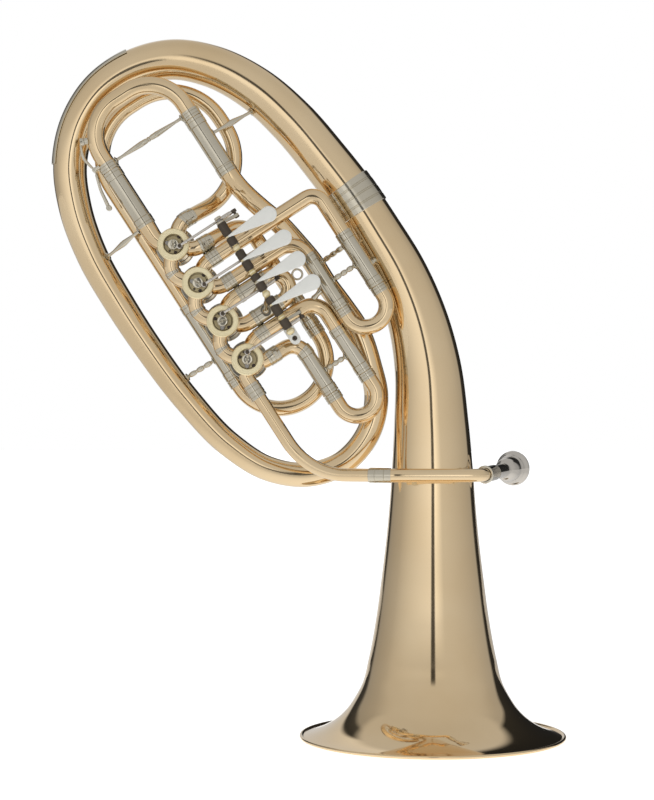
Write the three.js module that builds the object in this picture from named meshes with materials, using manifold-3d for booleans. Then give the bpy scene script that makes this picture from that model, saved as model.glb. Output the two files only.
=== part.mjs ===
import * as THREE from "three";
import Module from "manifold-3d";
import { mergeVertices } from "three/addons/utils/BufferGeometryUtils.js";

// An oval alto horn with four rotary valves, standing on its bell. Millimetres, +Z up.
// The bell axis is upright, the oval of the big tube lies in the XZ plane, and the valve caps,
// levers and push rods face -Y.

const wasm = await Module();
wasm.setup();

// Clearances and facets
const GAP = 0.3;
const WELD = 0.001;
const OVERRUN = 2;
const BEND_STEP = THREE.MathUtils.degToRad(30.5);
const BELL_SIDES = 28;
const CASING_SIDES = 16;
const BIG_SIDES = 16;
const TUBE_SIDES = 9;
const ROUND_SIDES = 10;
const SMALL_SIDES = 7;
const WIRE_SIDES = 6;

// Bell
const BELL_RADIUS = 102.5;
const BELL_WALL = 0.9;
const RIM_BEAD = 2.2;
const FLARE_HEIGHT = 200;
// Height up the flare, and radius there, as shares of the flare's height and of the bell's radius
const FLARE_SHARES = [
  [0.006, 0.975],
  [0.03, 0.842],
  [0.05, 0.771],
  [0.08, 0.694],
  [0.112, 0.635],
  [0.15, 0.585],
  [0.205, 0.528],
  [0.3, 0.48],
  [0.45, 0.425],
  [0.6, 0.385],
  [0.78, 0.343],
  [1, 0.309],
];

// Big tube: how far the oval reaches left of the bell axis and how high its centre line rises
const OVAL_REACH = 279;
const OVAL_HEIGHT = 521.6;
const STEM_RADIUS = 31.6;
const BIG_WALL = 0.6;
// Stations of the centre line from the bell stem round the oval: reach share, height share and
// the tube's radius as a share of the stem's
const OVAL_SHARES = [
  [0, 0.3835, 1],
  [0.003, 0.461, 0.908],
  [0.013, 0.546, 0.81],
  [0.04, 0.6135, 0.737],
  [0.093, 0.686, 0.677],
  [0.156, 0.744, 0.642],
  [0.2154, 0.794, 0.617],
  [0.296, 0.851, 0.598],
  [0.387, 0.9085, 0.579],
  [0.491, 0.9575, 0.547],
  [0.609, 0.99, 0.513],
  [0.717, 1, 0.487],
  [0.824, 0.987, 0.465],
  [0.914, 0.955, 0.446],
  [0.973, 0.908, 0.427],
  [1, 0.844, 0.411],
  [0.986, 0.782, 0.402],
  [0.939, 0.711, 0.383],
  [0.864, 0.64, 0.369],
  [0.7885, 0.578, 0.351],
  [0.674, 0.496, 0.332],
  [0.559, 0.4315, 0.317],
  [0.452, 0.396, 0.304],
  [0.344, 0.3875, 0.301],
  [0.2455, 0.4055, 0.301],
  [0.179, 0.447, 0.298],
  [0.155, 0.502, 0.293],
];
// Which stations the joints of the oval are at
const BELL_JOINT = 6;
const BOW_JOINT = 19;
const BOTTOM_JOINT = 26;
const GUARD_STATIONS = [12, 15];
const FERRULE_LENGTH = 25;
const FERRULE_TAPER = 1;
const FERRULE_WALL = 1;
const GUARD_WALL = 1;
const GUARD_HALF_ANGLE = THREE.MathUtils.degToRad(40);
const GUARD_TURN_SHARES = [-1, -0.5, 0, 0.5, 1];

// Valve bank: where its first centre stands in the oval, how far its line leans below level, and
// its pitch
const BANK_REACH_SHARE = 0.704659;
const BANK_HEIGHT_SHARE = 0.721242;
const BANK_LEFT = OVAL_REACH * BANK_REACH_SHARE;
const BANK_HEIGHT = OVAL_HEIGHT * BANK_HEIGHT_SHARE;
const BANK_LEAN = THREE.MathUtils.degToRad(57.2);
const VALVE_PITCH = 34.2;
const VALVE_COUNT = 4;
const PORT_DEPTH = -26;
const LOOP_DEPTH = -6;

// Valves
const CASING_RADIUS = 12.2;
const CASING_LENGTH = 27;
const CASING_WALL = 1.2;
const CASING_BACK = 1.6;
const CAP_RADIUS = 12;
const CAP_THICKNESS = 2.2;
const WINDOW_RADIUS = 8.3;
const WINDOW_SHIFT = 0.9;
const ROTOR_CHANNEL = 5.2;
const ROTOR_RECESS = 3;
const SPINDLE_RADIUS = 3.2;
const SCREW_RADIUS = 4.1;
const SCREW_HEIGHT = 1.2;
// Where each rotor's pin sits beside its centre: along and across the bank
const ARM_PLACES = [
  [3.8, 3.5],
  [3.8, 3.5],
  [-4.5, 3.2],
  [-4.5, 3.2],
];
const ARM_PIN_RADIUS = 1.5;
const ARM_THICKNESS = 1.8;
const PIN_HEIGHT = 1.4;

// Tubes of the valve section
const TUBE_RADIUS = 5.95;
const TUBE_WALL = 0.5;
const SLEEVE_RADIUS = 6.3;
const SLEEVE_WALL = 0.5;
const COLLAR_RISE = 0.35;
const PORT_OFFSET = 10.75;
const LAST_PORT_OFFSET = 7.5;
const PORT_BEND = 15;
const LAST_PORT_BEND = 12;
const PORT_START = 4;
const KNUCKLE_BEND = 12.3;

// Main tuning slide
const MAIN_LEFT = -9.6;
const MAIN_RIGHT = 64.2;
const MAIN_SLEEVE_RADIUS = 7.3;
const MAIN_BOW_RADIUS = 6.7;
const MAIN_SLEEVE_TOP = -73.5;
const MAIN_SLEEVE_BOTTOM = -24;
const MAIN_APEX = -117.5;
const MAIN_BEND = 31;
const MAIN_ENGAGEMENT = 44;
const MAIN_COLLAR_LENGTH = 7;

// Valve slides: where the two legs of each lie, where the sleeves start and end, and the apex
const FIRST_LEGS = [69.4, 39.4];
const FIRST_DEPTH = -20;
// Start and length of the stretch in which the upper and the lower tube ease to that depth
const FIRST_EASES = [
  [40, 30],
  [15, 20],
];
const FIRST_SLEEVES = [118, 158];
const FIRST_APEX = 185.5;
const FIRST_ELBOWS = [14, 12];
const SECOND_SLEEVES = [20, 42];
const SECOND_APEX = 56.8;
const SECOND_COLLAR_LENGTH = 3.6;
const THIRD_LEGS = [112.6, 80.9];
const THIRD_SLEEVES = [60, 108];
const THIRD_APEX = 132.4;
const THIRD_ELBOWS = [10, 15];
const FOURTH_LEGS = [-17, 55.2];
const FOURTH_SLEEVES = [41, 108];
const FOURTH_RIGHT_SLEEVE_START = 81;
const FOURTH_APEX = 152;
const FOURTH_TOP = -110.5;
const FOURTH_RIGHT = 81.5;
const FOURTH_LINE = 12.5;
const FOURTH_ENGAGEMENT = 25;
const FOURTH_EASE = [13, 38];
const EASE_SHARES = [0, 0.18, 0.34, 0.5, 0.66, 0.82, 1];
const MIN_STEP = 3.5;
const FOURTH_ELBOW = 14;
const FOURTH_TOP_BENDS = [45, 45, 45];
const SLIDE_COLLAR_LENGTH = 6.5;
const SLIDE_ENGAGEMENT = 30;
const SECOND_ENGAGEMENT = 15;
const RING_RADIUS = 3.8;
const RING_WIRE = 0.8;

// Leadpipe and mouthpiece
const LEADPIPE_RADIUS = 5;
const LEADPIPE_START_RADIUS = 5.8;
const LEADPIPE_ACROSS = -8.2;
const LEADPIPE_TURN = 200.5;
const LEADPIPE_FRONT = -51;
const LEADPIPE_MIDDLE = -38;
const LEADPIPE_BENDS = [12, 52, 60, 12];
const LEADPIPE_END_X = 33.5;
const LEADPIPE_TAIL = 12;
const LEADPIPE_COLLAR_START = 14;
const LEADPIPE_COLLAR_LENGTH = 13;
const RECEIVER_LENGTH = 21;
const RECEIVER_OVERLAP = 3.5;
const RECEIVER_RADIUS = 6;
const RECEIVER_BORE = 5.3;
const RECEIVER_RING = 0.8;
const RECEIVER_RING_LENGTH = 2;
const MOUTHPIECE_TURN = THREE.MathUtils.degToRad(24);
const MOUTHPIECE_RISE = THREE.MathUtils.degToRad(2.5);
const MOUTHPIECE_LENGTH = 63;
const MOUTHPIECE_INSERTION = 17;
const MOUTHPIECE_RIM = 13.4;
// Outline of the mouthpiece: length share from the shank's tip, radius share of the rim
const MOUTHPIECE_SHARES = [
  [0, 0.31],
  [0.38, 0.345],
  [0.44, 0.37],
  [0.56, 0.42],
  [0.62, 0.52],
  [0.78, 0.69],
  [0.88, 0.74],
  [0.925, 0.8],
  [0.945, 0.97],
  [0.97, 1],
  [0.99, 0.96],
  [1, 0.84],
];
const MOUTHPIECE_BORE_SHARES = [
  [0, 0.25],
  [0.72, 0.14],
  [0.8, 0.2],
  [0.87, 0.48],
  [0.94, 0.62],
  [1, 0.66],
];

// Levers, all on one axle in front of the rods
const AXLE_ACROSS = 38.6;
const AXLE_DEPTH = -59;
const AXLE_RADIUS = 1.6;
const AXLE_ENDS = [4, 105.2];
const BARREL_RADIUS = 3.6;
const BARREL_BORE = 1.95;
// Where each lever's barrel starts and ends along the axle, from the fourth valve's to the first's
const BARREL_PLACES = [
  [6.4, 21],
  [37.4, 44.6],
  [56.5, 62.5],
  [77, 95.5],
];
const TOUCH_LENGTH = 39.5;
const TOUCH_RADIUS = 6;
const TOUCH_NECK = 1.4;
const TOUCH_THICKNESS = 1.5;
const TOUCH_SLEW = THREE.MathUtils.degToRad(3.8);
const TOUCH_SHARE = 0.3;
const TOUCH_OPENING = THREE.MathUtils.degToRad(115);
// Touch plate positions along the axle, from the fourth valve's lever to the first's
const TOUCH_PLACES = [19.3, 39.9, 58.9, 79.2];
const CRANK_SIDE = [1, 1, -1, -1];
const CRANK_ACROSS = 13;
const CRANK_OFFSET = 3.9;
const CRANK_WIDTH = 2.6;
const ROD_DEPTH = -44.8;
const ROD_RADIUS = 1;
const ROD_SLEEVE_RADIUS = 1.7;
const ROD_SLEEVE_LENGTH = 13;
const ROD_EYE_RADIUS = 2.2;
const ROD_EYE_HEIGHT = 2.6;
const STUD_RADIUS = 1.1;

// Lever rack
const POST_WIDTH = 3.6;
const POST_HEAD = 3.4;
const FOOT_LENGTH = 9;
const FOOT_THICKNESS = 1.6;
const FOOT_SCREW = 108;
// Each post: its place on the axle, its foot's place along and across the bank, the foot's width
const POSTS = [
  [24.6, 23.5, 38.6, 7],
  [73.4, 79.1, 31.5, 7],
  [103.4, 103.4, 38.6, 20],
];

// Water key on the main slide
// Points along and across the bank: the key's pivot, its finger end, the nozzle's start and mouth on
// the bow, and the back of the pad
const KEY_PIVOT = [-80.7, -19.7];
const KEY_FINGER = [-51, -26.2];
const KEY_NOZZLE = [-100.8, -9];
const KEY_MOUTH = [-103.4, -14.7];
const KEY_BACK = [-104.8, -17.8];
const KEY_PAD_SHARE = 0.1;
const KEY_RADIUS = 1.1;
const KEY_AXLE = 0.7;
const KEY_BARREL = 1.9;
const KEY_BARREL_LENGTH = 6;
const KEY_FINGER_RADIUS = 2.2;
const KEY_PAD = 3.2;
const SADDLE_THICKNESS = 1.4;
const MAIN_SADDLE_REACH = 15;

// Braces
const BRACE_RADIUS = 2.3;
const BRACE_SEAT = 12;
// Outline of a turned brace: length share, radius share
const BRACE_SHARES = [
  [0, 1.35],
  [0.06, 1.35],
  [0.1, 0.5],
  [0.36, 0.42],
  [0.46, 1],
  [0.54, 1],
  [0.64, 0.42],
  [0.9, 0.5],
  [0.94, 1.35],
  [1, 1.35],
];

const SHORT_BRACE_SHARES = [
  [0, 1],
  [1, 1],
];

// Where the braces stand: points along and across the bank, and stations of the oval
const BRACES = {
  mainSlide: -78.5,
  mainBow: -56.7,
  mainBowStation: 8.6,
  mainSide: -25,
  mainSideStation: 17.2,
  fourthSide: 88.5,
  fourthSideStation: 19.7,
  thirdBell: 93,
  thirdBellStation: 4.6,
  innerThird: [69.5, 82, -1.6],
  innerThirdShare: 0.27,
  third: 86.5,
  firstThird: [92, 61.5],
  first: 140.5,
  leadpipe: -2,
};

// The inner branch on its way up: along the bank, across it, and depth
const INNER_SIDES = 12;
const INNER_STATIONS = [
  [157, 75.8, 0],
  [126.3, 83.3, 0],
  [106.7, 83, 0],
  [84.7, 81.8, 0],
  [65.5, 81.9, -2],
  [46.1, 79.5, -5.5],
  [28.8, 76.5, -9.8],
  [10, 70.7, -14.5],
  [-2, 67.2, -19],
  [-13, 65, -23.6],
];

// Materials
function metal(color, roughness) {
  return new THREE.MeshStandardMaterial({ color, roughness, metalness: 1 });
}
const brass = metal(0xcdb282, 0.22);
const nickel = metal(0xaaa596, 0.28);
const silver = metal(0xc9c6c0, 0.2);
const capBrass = metal(0xdece9b, 0.5);
const satin = metal(0xd7d7d0, 0.6);

// Closed geometry: vertices merged, collapsed triangles dropped and faces turned outward
function closed(source) {
  const bare = source.clone();
  bare.deleteAttribute("normal");
  bare.deleteAttribute("uv");
  const merged = mergeVertices(bare, WELD);
  const corners = merged.index.array;
  const kept = [];
  for (let i = 0; i < corners.length; i += 3) {
    const [a, b, c] = [corners[i], corners[i + 1], corners[i + 2]];
    if (a !== b && b !== c && c !== a) kept.push(a, b, c);
  }
  if (enclosedVolume(merged, kept) < 0) kept.reverse();
  merged.setIndex(kept);
  return merged;
}

function enclosedVolume(geometry, corners) {
  const position = geometry.attributes.position;
  const [a, b, c] = [new THREE.Vector3(), new THREE.Vector3(), new THREE.Vector3()];
  let sum = 0;
  for (let i = 0; i < corners.length; i += 3) {
    a.fromBufferAttribute(position, corners[i]);
    b.fromBufferAttribute(position, corners[i + 1]);
    c.fromBufferAttribute(position, corners[i + 2]);
    sum += a.dot(b.cross(c));
  }
  return sum;
}

function solidFrom(geometry) {
  const vertProperties = new Float32Array(geometry.attributes.position.array);
  const triVerts = new Uint32Array(geometry.index.array);
  return new wasm.Manifold(new wasm.Mesh({ numProp: 3, vertProperties, triVerts }));
}

function geometryFrom(solid) {
  const mesh = solid.getMesh();
  const geometry = new THREE.BufferGeometry();
  geometry.setAttribute("position", new THREE.Float32BufferAttribute(mesh.vertProperties, 3));
  geometry.setIndex(Array.from(mesh.triVerts));
  return geometry;
}

function joined(...pieces) {
  let sum = solidFrom(pieces[0]);
  for (const piece of pieces.slice(1)) sum = sum.add(solidFrom(piece));
  return geometryFrom(sum);
}

function cut(piece, ...tools) {
  let rest = solidFrom(piece);
  for (const tool of tools) rest = rest.subtract(solidFrom(tool));
  return geometryFrom(rest);
}

// Centre points of a route whose corners are rounded with the given bend radii
function bentRoute(corners, bends) {
  const points = [corners[0].clone()];
  for (let i = 1; i < corners.length - 1; i++) {
    const back = corners[i - 1].clone().sub(corners[i]).normalize();
    const on = corners[i + 1].clone().sub(corners[i]).normalize();
    const turn = Math.PI - back.angleTo(on);
    const reach = bends[i - 1] * Math.tan(turn / 2);
    const inward = back.clone().add(on).normalize();
    const centre = corners[i].clone().addScaledVector(inward, bends[i - 1] / Math.cos(turn / 2));
    const spoke = corners[i].clone().addScaledVector(back, reach).sub(centre);
    const axis = on.clone().cross(back).normalize();
    const steps = Math.max(2, Math.ceil(turn / BEND_STEP));
    for (let k = 0; k <= steps; k++) {
      const point = spoke.clone().applyAxisAngle(axis, (turn * k) / steps).add(centre);
      if (point.distanceTo(points.at(-1)) > GAP) points.push(point);
    }
  }
  points.push(corners.at(-1).clone());
  return points;
}

// A path holds its centre points, the length up to each, and a frame at each
function pathThrough(points) {
  const lengths = [0];
  for (let i = 1; i < points.length; i++) {
    lengths.push(lengths[i - 1] + points[i].distanceTo(points[i - 1]));
  }
  const tangents = points.map((point, i) => {
    const before = points[Math.max(i - 1, 0)];
    const after = points[Math.min(i + 1, points.length - 1)];
    const into = point.clone().sub(before).normalize();
    const out = after.clone().sub(point).normalize();
    return into.add(out).normalize();
  });
  const up = new THREE.Vector3(0, 1, 0);
  const first = Math.abs(tangents[0].y) > 0.9 ? new THREE.Vector3(1, 0, 0) : up;
  const normals = [squareTo(first, tangents[0])];
  for (let i = 1; i < points.length; i++) normals.push(squareTo(normals[i - 1], tangents[i]));
  return { points, lengths, tangents, normals, total: lengths.at(-1) };
}

function squareTo(vector, tangent) {
  return vector.clone().addScaledVector(tangent, -vector.dot(tangent)).normalize();
}

function frameAt(path, length) {
  const { points, lengths, tangents, normals } = path;
  let i = 0;
  while (i < lengths.length - 2 && length > lengths[i + 1] + WELD) i++;
  for (const k of [i, i + 1]) {
    if (Math.abs(length - lengths[k]) < 2 * WELD) {
      return { point: points[k], tangent: tangents[k], normal: normals[k] };
    }
  }
  const share = (length - lengths[i]) / (lengths[i + 1] - lengths[i]);
  const point = points[i].clone().lerp(points[i + 1], share);
  const tangent = points[i + 1].clone().sub(points[i]).normalize();
  return { point, tangent, normal: squareTo(normals[i], tangent) };
}

// Rows of length and radius, with a row added wherever the path bends
function rowsAlong(path, profile) {
  const rows = [];
  for (let i = 0; i < profile.length - 1; i++) {
    const [start, radius] = profile[i];
    const [end, next] = profile[i + 1];
    rows.push([start, radius]);
    for (const length of path.lengths) {
      if (length > start + GAP && length < end - GAP) {
        const share = (length - start) / (end - start);
        rows.push([length, radius + (next - radius) * share]);
      }
    }
  }
  rows.push(profile.at(-1));
  return rows;
}

function ringAt(path, length, radius, sides) {
  const { point, tangent, normal } = frameAt(path, length);
  const side = tangent.clone().cross(normal);
  const ring = [];
  for (let i = 0; i < sides; i++) {
    const angle = (i * 2 * Math.PI) / sides;
    const spoke = normal.clone().multiplyScalar(Math.cos(angle));
    ring.push(spoke.addScaledVector(side, Math.sin(angle)).multiplyScalar(radius).add(point));
  }
  return ring;
}

// A closed wall between an outer and an inner stack of rings
function wallBetween(outer, inner) {
  const sides = outer[0].length;
  const rings = [...outer, ...inner];
  const positions = rings.flat().flatMap((point) => point.toArray());
  const corners = [];
  const at = (ring, i) => ring * sides + (i % sides);
  const quad = (a, b, c, d) => corners.push(a, b, c, a, c, d);
  const last = outer.length - 1;
  const base = outer.length;
  const end = rings.length - 1;
  for (let i = 0; i < sides; i++) {
    for (let j = 0; j < last; j++) quad(at(j, i), at(j, i + 1), at(j + 1, i + 1), at(j + 1, i));
    for (let j = base; j < end; j++) quad(at(j, i + 1), at(j, i), at(j + 1, i), at(j + 1, i + 1));
    quad(at(0, i + 1), at(0, i), at(base, i), at(base, i + 1));
    quad(at(last, i), at(last, i + 1), at(end, i + 1), at(end, i));
  }
  const geometry = new THREE.BufferGeometry();
  geometry.setAttribute("position", new THREE.Float32BufferAttribute(positions, 3));
  geometry.setIndex(corners);
  return closed(geometry);
}

// A hollow tube along a path, from rows of length and outer radius and rows for the bore
function hollowTube(path, profile, bore, sides = TUBE_SIDES) {
  const outer = rowsAlong(path, profile).map(([s, radius]) => ringAt(path, s, radius, sides));
  const inner = rowsAlong(path, bore).map(([s, radius]) => ringAt(path, s, radius, sides));
  return wallBetween(outer, inner);
}

// A straight outline with raised collars, each given by its start and length
function collared(start, end, radius, collars, rise = COLLAR_RISE) {
  const rows = [[start, radius]];
  for (const [from, length] of collars) {
    if (from > start) rows.push([from, radius]);
    rows.push([from, radius + rise]);
    rows.push([from + length, radius + rise]);
    if (from + length < end) rows.push([from + length, radius]);
  }
  rows.push([end, radius]);
  return rows.filter((row, i) => i === 0 || row[0] !== rows[i - 1][0] || row[1] !== rows[i - 1][1]);
}

// A turned solid from one point towards another, from rows of length and radius
function turned(rows, from, towards, sides = ROUND_SIDES) {
  const outline = [new THREE.Vector2(0, rows[0][0])];
  for (const [length, radius] of rows) outline.push(new THREE.Vector2(radius, length));
  outline.push(new THREE.Vector2(0, rows.at(-1)[0]));
  return aimed(closed(new THREE.LatheGeometry(outline, sides)), from, towards);
}

// A turned ring whose outline closes on itself
function turnedRing(outline, from, towards, sides = ROUND_SIDES) {
  const points = [...outline, outline[0]].map(([length, radius]) => new THREE.Vector2(radius, length));
  return aimed(closed(new THREE.LatheGeometry(points, sides)), from, towards);
}

function aimed(geometry, from, towards) {
  const direction = towards.clone().sub(from).normalize();
  const turn = new THREE.Quaternion().setFromUnitVectors(new THREE.Vector3(0, 1, 0), direction);
  return geometry.applyQuaternion(turn).translate(from.x, from.y, from.z);
}

function pin(from, to, radius, sides = ROUND_SIDES) {
  const rows = [
    [0, radius],
    [from.distanceTo(to), radius],
  ];
  return turned(rows, from, to, sides);
}

// Bank space: x runs across the bank to the upper right, y along it to the lower right, z is depth
const across = new THREE.Vector3(Math.sin(BANK_LEAN), 0, Math.cos(BANK_LEAN));
const along = new THREE.Vector3(Math.cos(BANK_LEAN), 0, -Math.sin(BANK_LEAN));
const bankPlace = new THREE.Matrix4()
  .makeBasis(across, along, new THREE.Vector3(0, 1, 0))
  .setPosition(-BANK_LEFT, 0, BANK_HEIGHT);

function inBank(alongBank, acrossBank, depth) {
  return new THREE.Vector3(acrossBank, alongBank, depth);
}

function fromBank(alongBank, acrossBank, depth) {
  return inBank(alongBank, acrossBank, depth).applyMatrix4(bankPlace);
}

const part = new THREE.Group();

function place(name, geometry, material) {
  const mesh = new THREE.Mesh(geometry, material);
  mesh.name = name;
  geometry.computeVertexNormals();
  part.add(mesh);
}

// The oval's centre line with the tube's radius at each of its points
function makeOval() {
  const stations = OVAL_SHARES.map(([reach, height]) => {
    return new THREE.Vector3(-reach * OVAL_REACH, 0, height * OVAL_HEIGHT);
  });
  return { ...pathThrough(stations), radii: OVAL_SHARES.map((row) => row[2] * STEM_RADIUS) };
}

const oval = makeOval();

// Rings of the oval between two stations; the end rings stand back by half a clearance
function ovalRings(from, to, change, sides, setback = GAP / 2) {
  const rings = [];
  for (let i = from; i <= to; i++) {
    const ring = ringAt(oval, oval.lengths[i], oval.radii[i] + change, sides);
    const shift = i === from ? setback : i === to ? -setback : 0;
    rings.push(ring.map((point) => point.addScaledVector(oval.tangents[i], shift)));
  }
  return rings;
}

function makeBell() {
  const upright = pathThrough([new THREE.Vector3(), new THREE.Vector3(0, 0, OVAL_HEIGHT)]);
  const level = (height, radius) => ringAt(upright, height, radius, BELL_SIDES);
  const outer = [
    level(0, BELL_RADIUS - RIM_BEAD / 2),
    level(RIM_BEAD / 2, BELL_RADIUS),
    level(RIM_BEAD, BELL_RADIUS - RIM_BEAD / 2),
  ];
  const inner = [
    level(0, BELL_RADIUS - RIM_BEAD),
    level(RIM_BEAD / 2, BELL_RADIUS - RIM_BEAD - BELL_WALL),
  ];
  for (const [height, radius] of FLARE_SHARES.slice(1, -1)) {
    outer.push(level(height * FLARE_HEIGHT, radius * BELL_RADIUS));
    inner.push(level(height * FLARE_HEIGHT - BELL_WALL / 2, radius * BELL_RADIUS - BELL_WALL));
  }
  outer.push(...ovalRings(0, BELL_JOINT, 0, BELL_SIDES));
  inner.push(...ovalRings(0, BELL_JOINT, -BELL_WALL, BELL_SIDES));
  place("bell", wallBetween(outer, inner), brass);
}

function makeOvalTubes() {
  const half = FERRULE_LENGTH / 2;
  const ring = (extra, shift) => {
    const station = oval.lengths[BELL_JOINT];
    const radius = oval.radii[BELL_JOINT] + FERRULE_TAPER + GAP + extra;
    const points = ringAt(oval, station, radius, BIG_SIDES);
    return points.map((point) => point.addScaledVector(oval.tangents[BELL_JOINT], shift));
  };
  const outer = [ring(FERRULE_WALL, -half), ring(FERRULE_WALL, half)];
  const inner = [ring(0, -half), ring(0, half)];
  place("bell_ferrule", wallBetween(outer, inner), nickel);
  const tube = (name, from, to) => {
    const outer = ovalRings(from, to, 0, BIG_SIDES);
    const inner = ovalRings(from, to, -BIG_WALL, BIG_SIDES);
    place(name, wallBetween(outer, inner), brass);
  };
  tube("outer_branch", BELL_JOINT, BOW_JOINT);
  tube("bottom_bow", BOW_JOINT, BOTTOM_JOINT);
}

// A thin strip bent round the outside of the top bow
function makeGuard() {
  const rows = [];
  const [from, to] = GUARD_STATIONS;
  for (let i = from; i <= to; i++) {
    const point = oval.points[i];
    const tangent = oval.tangents[i];
    const depth = new THREE.Vector3(0, 1, 0);
    const outward = depth.clone().cross(tangent).normalize();
    if (outward.z - outward.x < 0) outward.negate();
    const row = [];
    const arc = (radius, turn) => {
      const spoke = outward.clone().multiplyScalar(Math.cos(turn) * radius);
      return spoke.addScaledVector(depth, Math.sin(turn) * radius).add(point);
    };
    const radius = oval.radii[i] + GAP;
    for (const share of GUARD_TURN_SHARES) row.push(arc(radius + GUARD_WALL, share * GUARD_HALF_ANGLE));
    for (const share of GUARD_TURN_SHARES.toReversed()) row.push(arc(radius, share * GUARD_HALF_ANGLE));
    rows.push(row);
  }
  place("bow_guard", loftBetween(rows), nickel);
}

// A closed body through rows of points, each row an outline of the same count
function loftBetween(rows) {
  const count = rows[0].length;
  const positions = rows.flat().flatMap((point) => point.toArray());
  const corners = [];
  for (let j = 0; j < rows.length - 1; j++) {
    for (let i = 0; i < count; i++) {
      const [a, b] = [j * count + i, j * count + ((i + 1) % count)];
      corners.push(a, b, b + count, a, b + count, a + count);
    }
  }
  const last = (rows.length - 1) * count;
  const half = count / 2;
  for (let i = 0; i < half - 1; i++) {
    const [a, b, c, d] = [i, i + 1, count - 2 - i, count - 1 - i];
    corners.push(a, c, b, a, d, c);
    corners.push(last + a, last + b, last + c, last + a, last + c, last + d);
  }
  const geometry = new THREE.BufferGeometry();
  geometry.setAttribute("position", new THREE.Float32BufferAttribute(positions, 3));
  geometry.setIndex(corners);
  return closed(geometry);
}

// A route whose depth eases from one value to another between two lengths
function eased(points, [start, span], from, to) {
  const end = start + span;
  const flat = pathThrough(points);
  const stops = [...flat.lengths];
  for (const share of EASE_SHARES) {
    const stop = start + (end - start) * share;
    if (flat.lengths.every((length) => Math.abs(length - stop) > MIN_STEP)) stops.push(stop);
  }
  stops.sort((a, b) => a - b);
  return stops.map((length) => {
    const share = THREE.MathUtils.smoothstep(length, start, end);
    const point = frameAt(flat, length).point.clone();
    return point.setY(from + (to - from) * share);
  });
}

// A tube that leaves a valve: its wall follows the route and its end inside the casing is cut away
function ported(geometry, valve) {
  const centre = valve * VALVE_PITCH;
  const back = fromBank(centre, 0, PORT_DEPTH + CASING_LENGTH);
  const front = fromBank(centre, 0, PORT_DEPTH - CASING_LENGTH);
  return cut(geometry, pin(back, front, CASING_RADIUS + GAP, CASING_SIDES));
}

// The start of a port route: a point inside the casing on one of its four diagonals, and the corner
// where that diagonal meets the tube's own line
function portStart(valve, alongSide, acrossSide) {
  const reach = PORT_START * Math.SQRT1_2;
  const centre = valve * VALVE_PITCH;
  return fromBank(centre + alongSide * reach, acrossSide * reach, PORT_DEPTH);
}

// Profiles: a plain tube that widens into a sleeve, and a bow with ferrules beside its legs
function sleeveRows(total, sleeve, radius, sleeveRadius, collarLength) {
  const start = total - sleeve;
  return [
    [0, radius],
    [start, radius],
    [start, sleeveRadius + COLLAR_RISE],
    [start + collarLength, sleeveRadius + COLLAR_RISE],
    [start + collarLength, sleeveRadius],
    [total - collarLength, sleeveRadius],
    [total - collarLength, sleeveRadius + COLLAR_RISE],
    [total, sleeveRadius + COLLAR_RISE],
  ];
}

function sleeveBore(total, sleeve, radius, sleeveRadius) {
  const start = total - sleeve;
  return [
    [0, radius - TUBE_WALL],
    [start + TUBE_WALL, radius - TUBE_WALL],
    [start + TUBE_WALL, sleeveRadius - SLEEVE_WALL],
    [total, sleeveRadius - SLEEVE_WALL],
  ];
}

function bowRows(total, leg, collar, legRadius, collarRadius, bowRadius) {
  return [
    [0, legRadius],
    [leg + GAP, legRadius],
    [leg + GAP, collarRadius],
    [leg + collar, collarRadius],
    [leg + collar, bowRadius],
    [total - leg - collar, bowRadius],
    [total - leg - collar, collarRadius],
    [total - leg - GAP, collarRadius],
    [total - leg - GAP, legRadius],
    [total, legRadius],
  ];
}

const LEG_RADIUS = SLEEVE_RADIUS - SLEEVE_WALL - GAP - GAP / 6;
const COLLAR_RADIUS_OUT = SLEEVE_RADIUS + COLLAR_RISE;

function branchWithSleeve(name, points, sleeve, valve) {
  const path = pathThrough(points);
  const outer = sleeveRows(path.total, sleeve, TUBE_RADIUS, SLEEVE_RADIUS, SLIDE_COLLAR_LENGTH);
  const bore = sleeveBore(path.total, sleeve, TUBE_RADIUS, SLEEVE_RADIUS);
  place(name, ported(hollowTube(path, outer, bore), valve), nickel);
}

// A U-shaped slide: both legs start inside their sleeves, the bow passes the apex
function slideBow(legs, ends, engagement, apex, depth, collar = SLIDE_COLLAR_LENGTH) {
  const half = Math.abs(legs[1] - legs[0]) / 2;
  const points = bentRoute(
    [
      fromBank(ends - engagement, legs[0], depth),
      fromBank(apex, legs[0], depth),
      fromBank(apex, legs[1], depth),
      fromBank(ends - engagement, legs[1], depth),
    ],
    [half, half],
  );
  const path = pathThrough(points);
  const outer = bowRows(path.total, engagement, collar, LEG_RADIUS, COLLAR_RADIUS_OUT, TUBE_RADIUS);
  const bore = [
    [0, LEG_RADIUS - TUBE_WALL],
    [path.total, LEG_RADIUS - TUBE_WALL],
  ];
  return hollowTube(path, outer, bore);
}

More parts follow.
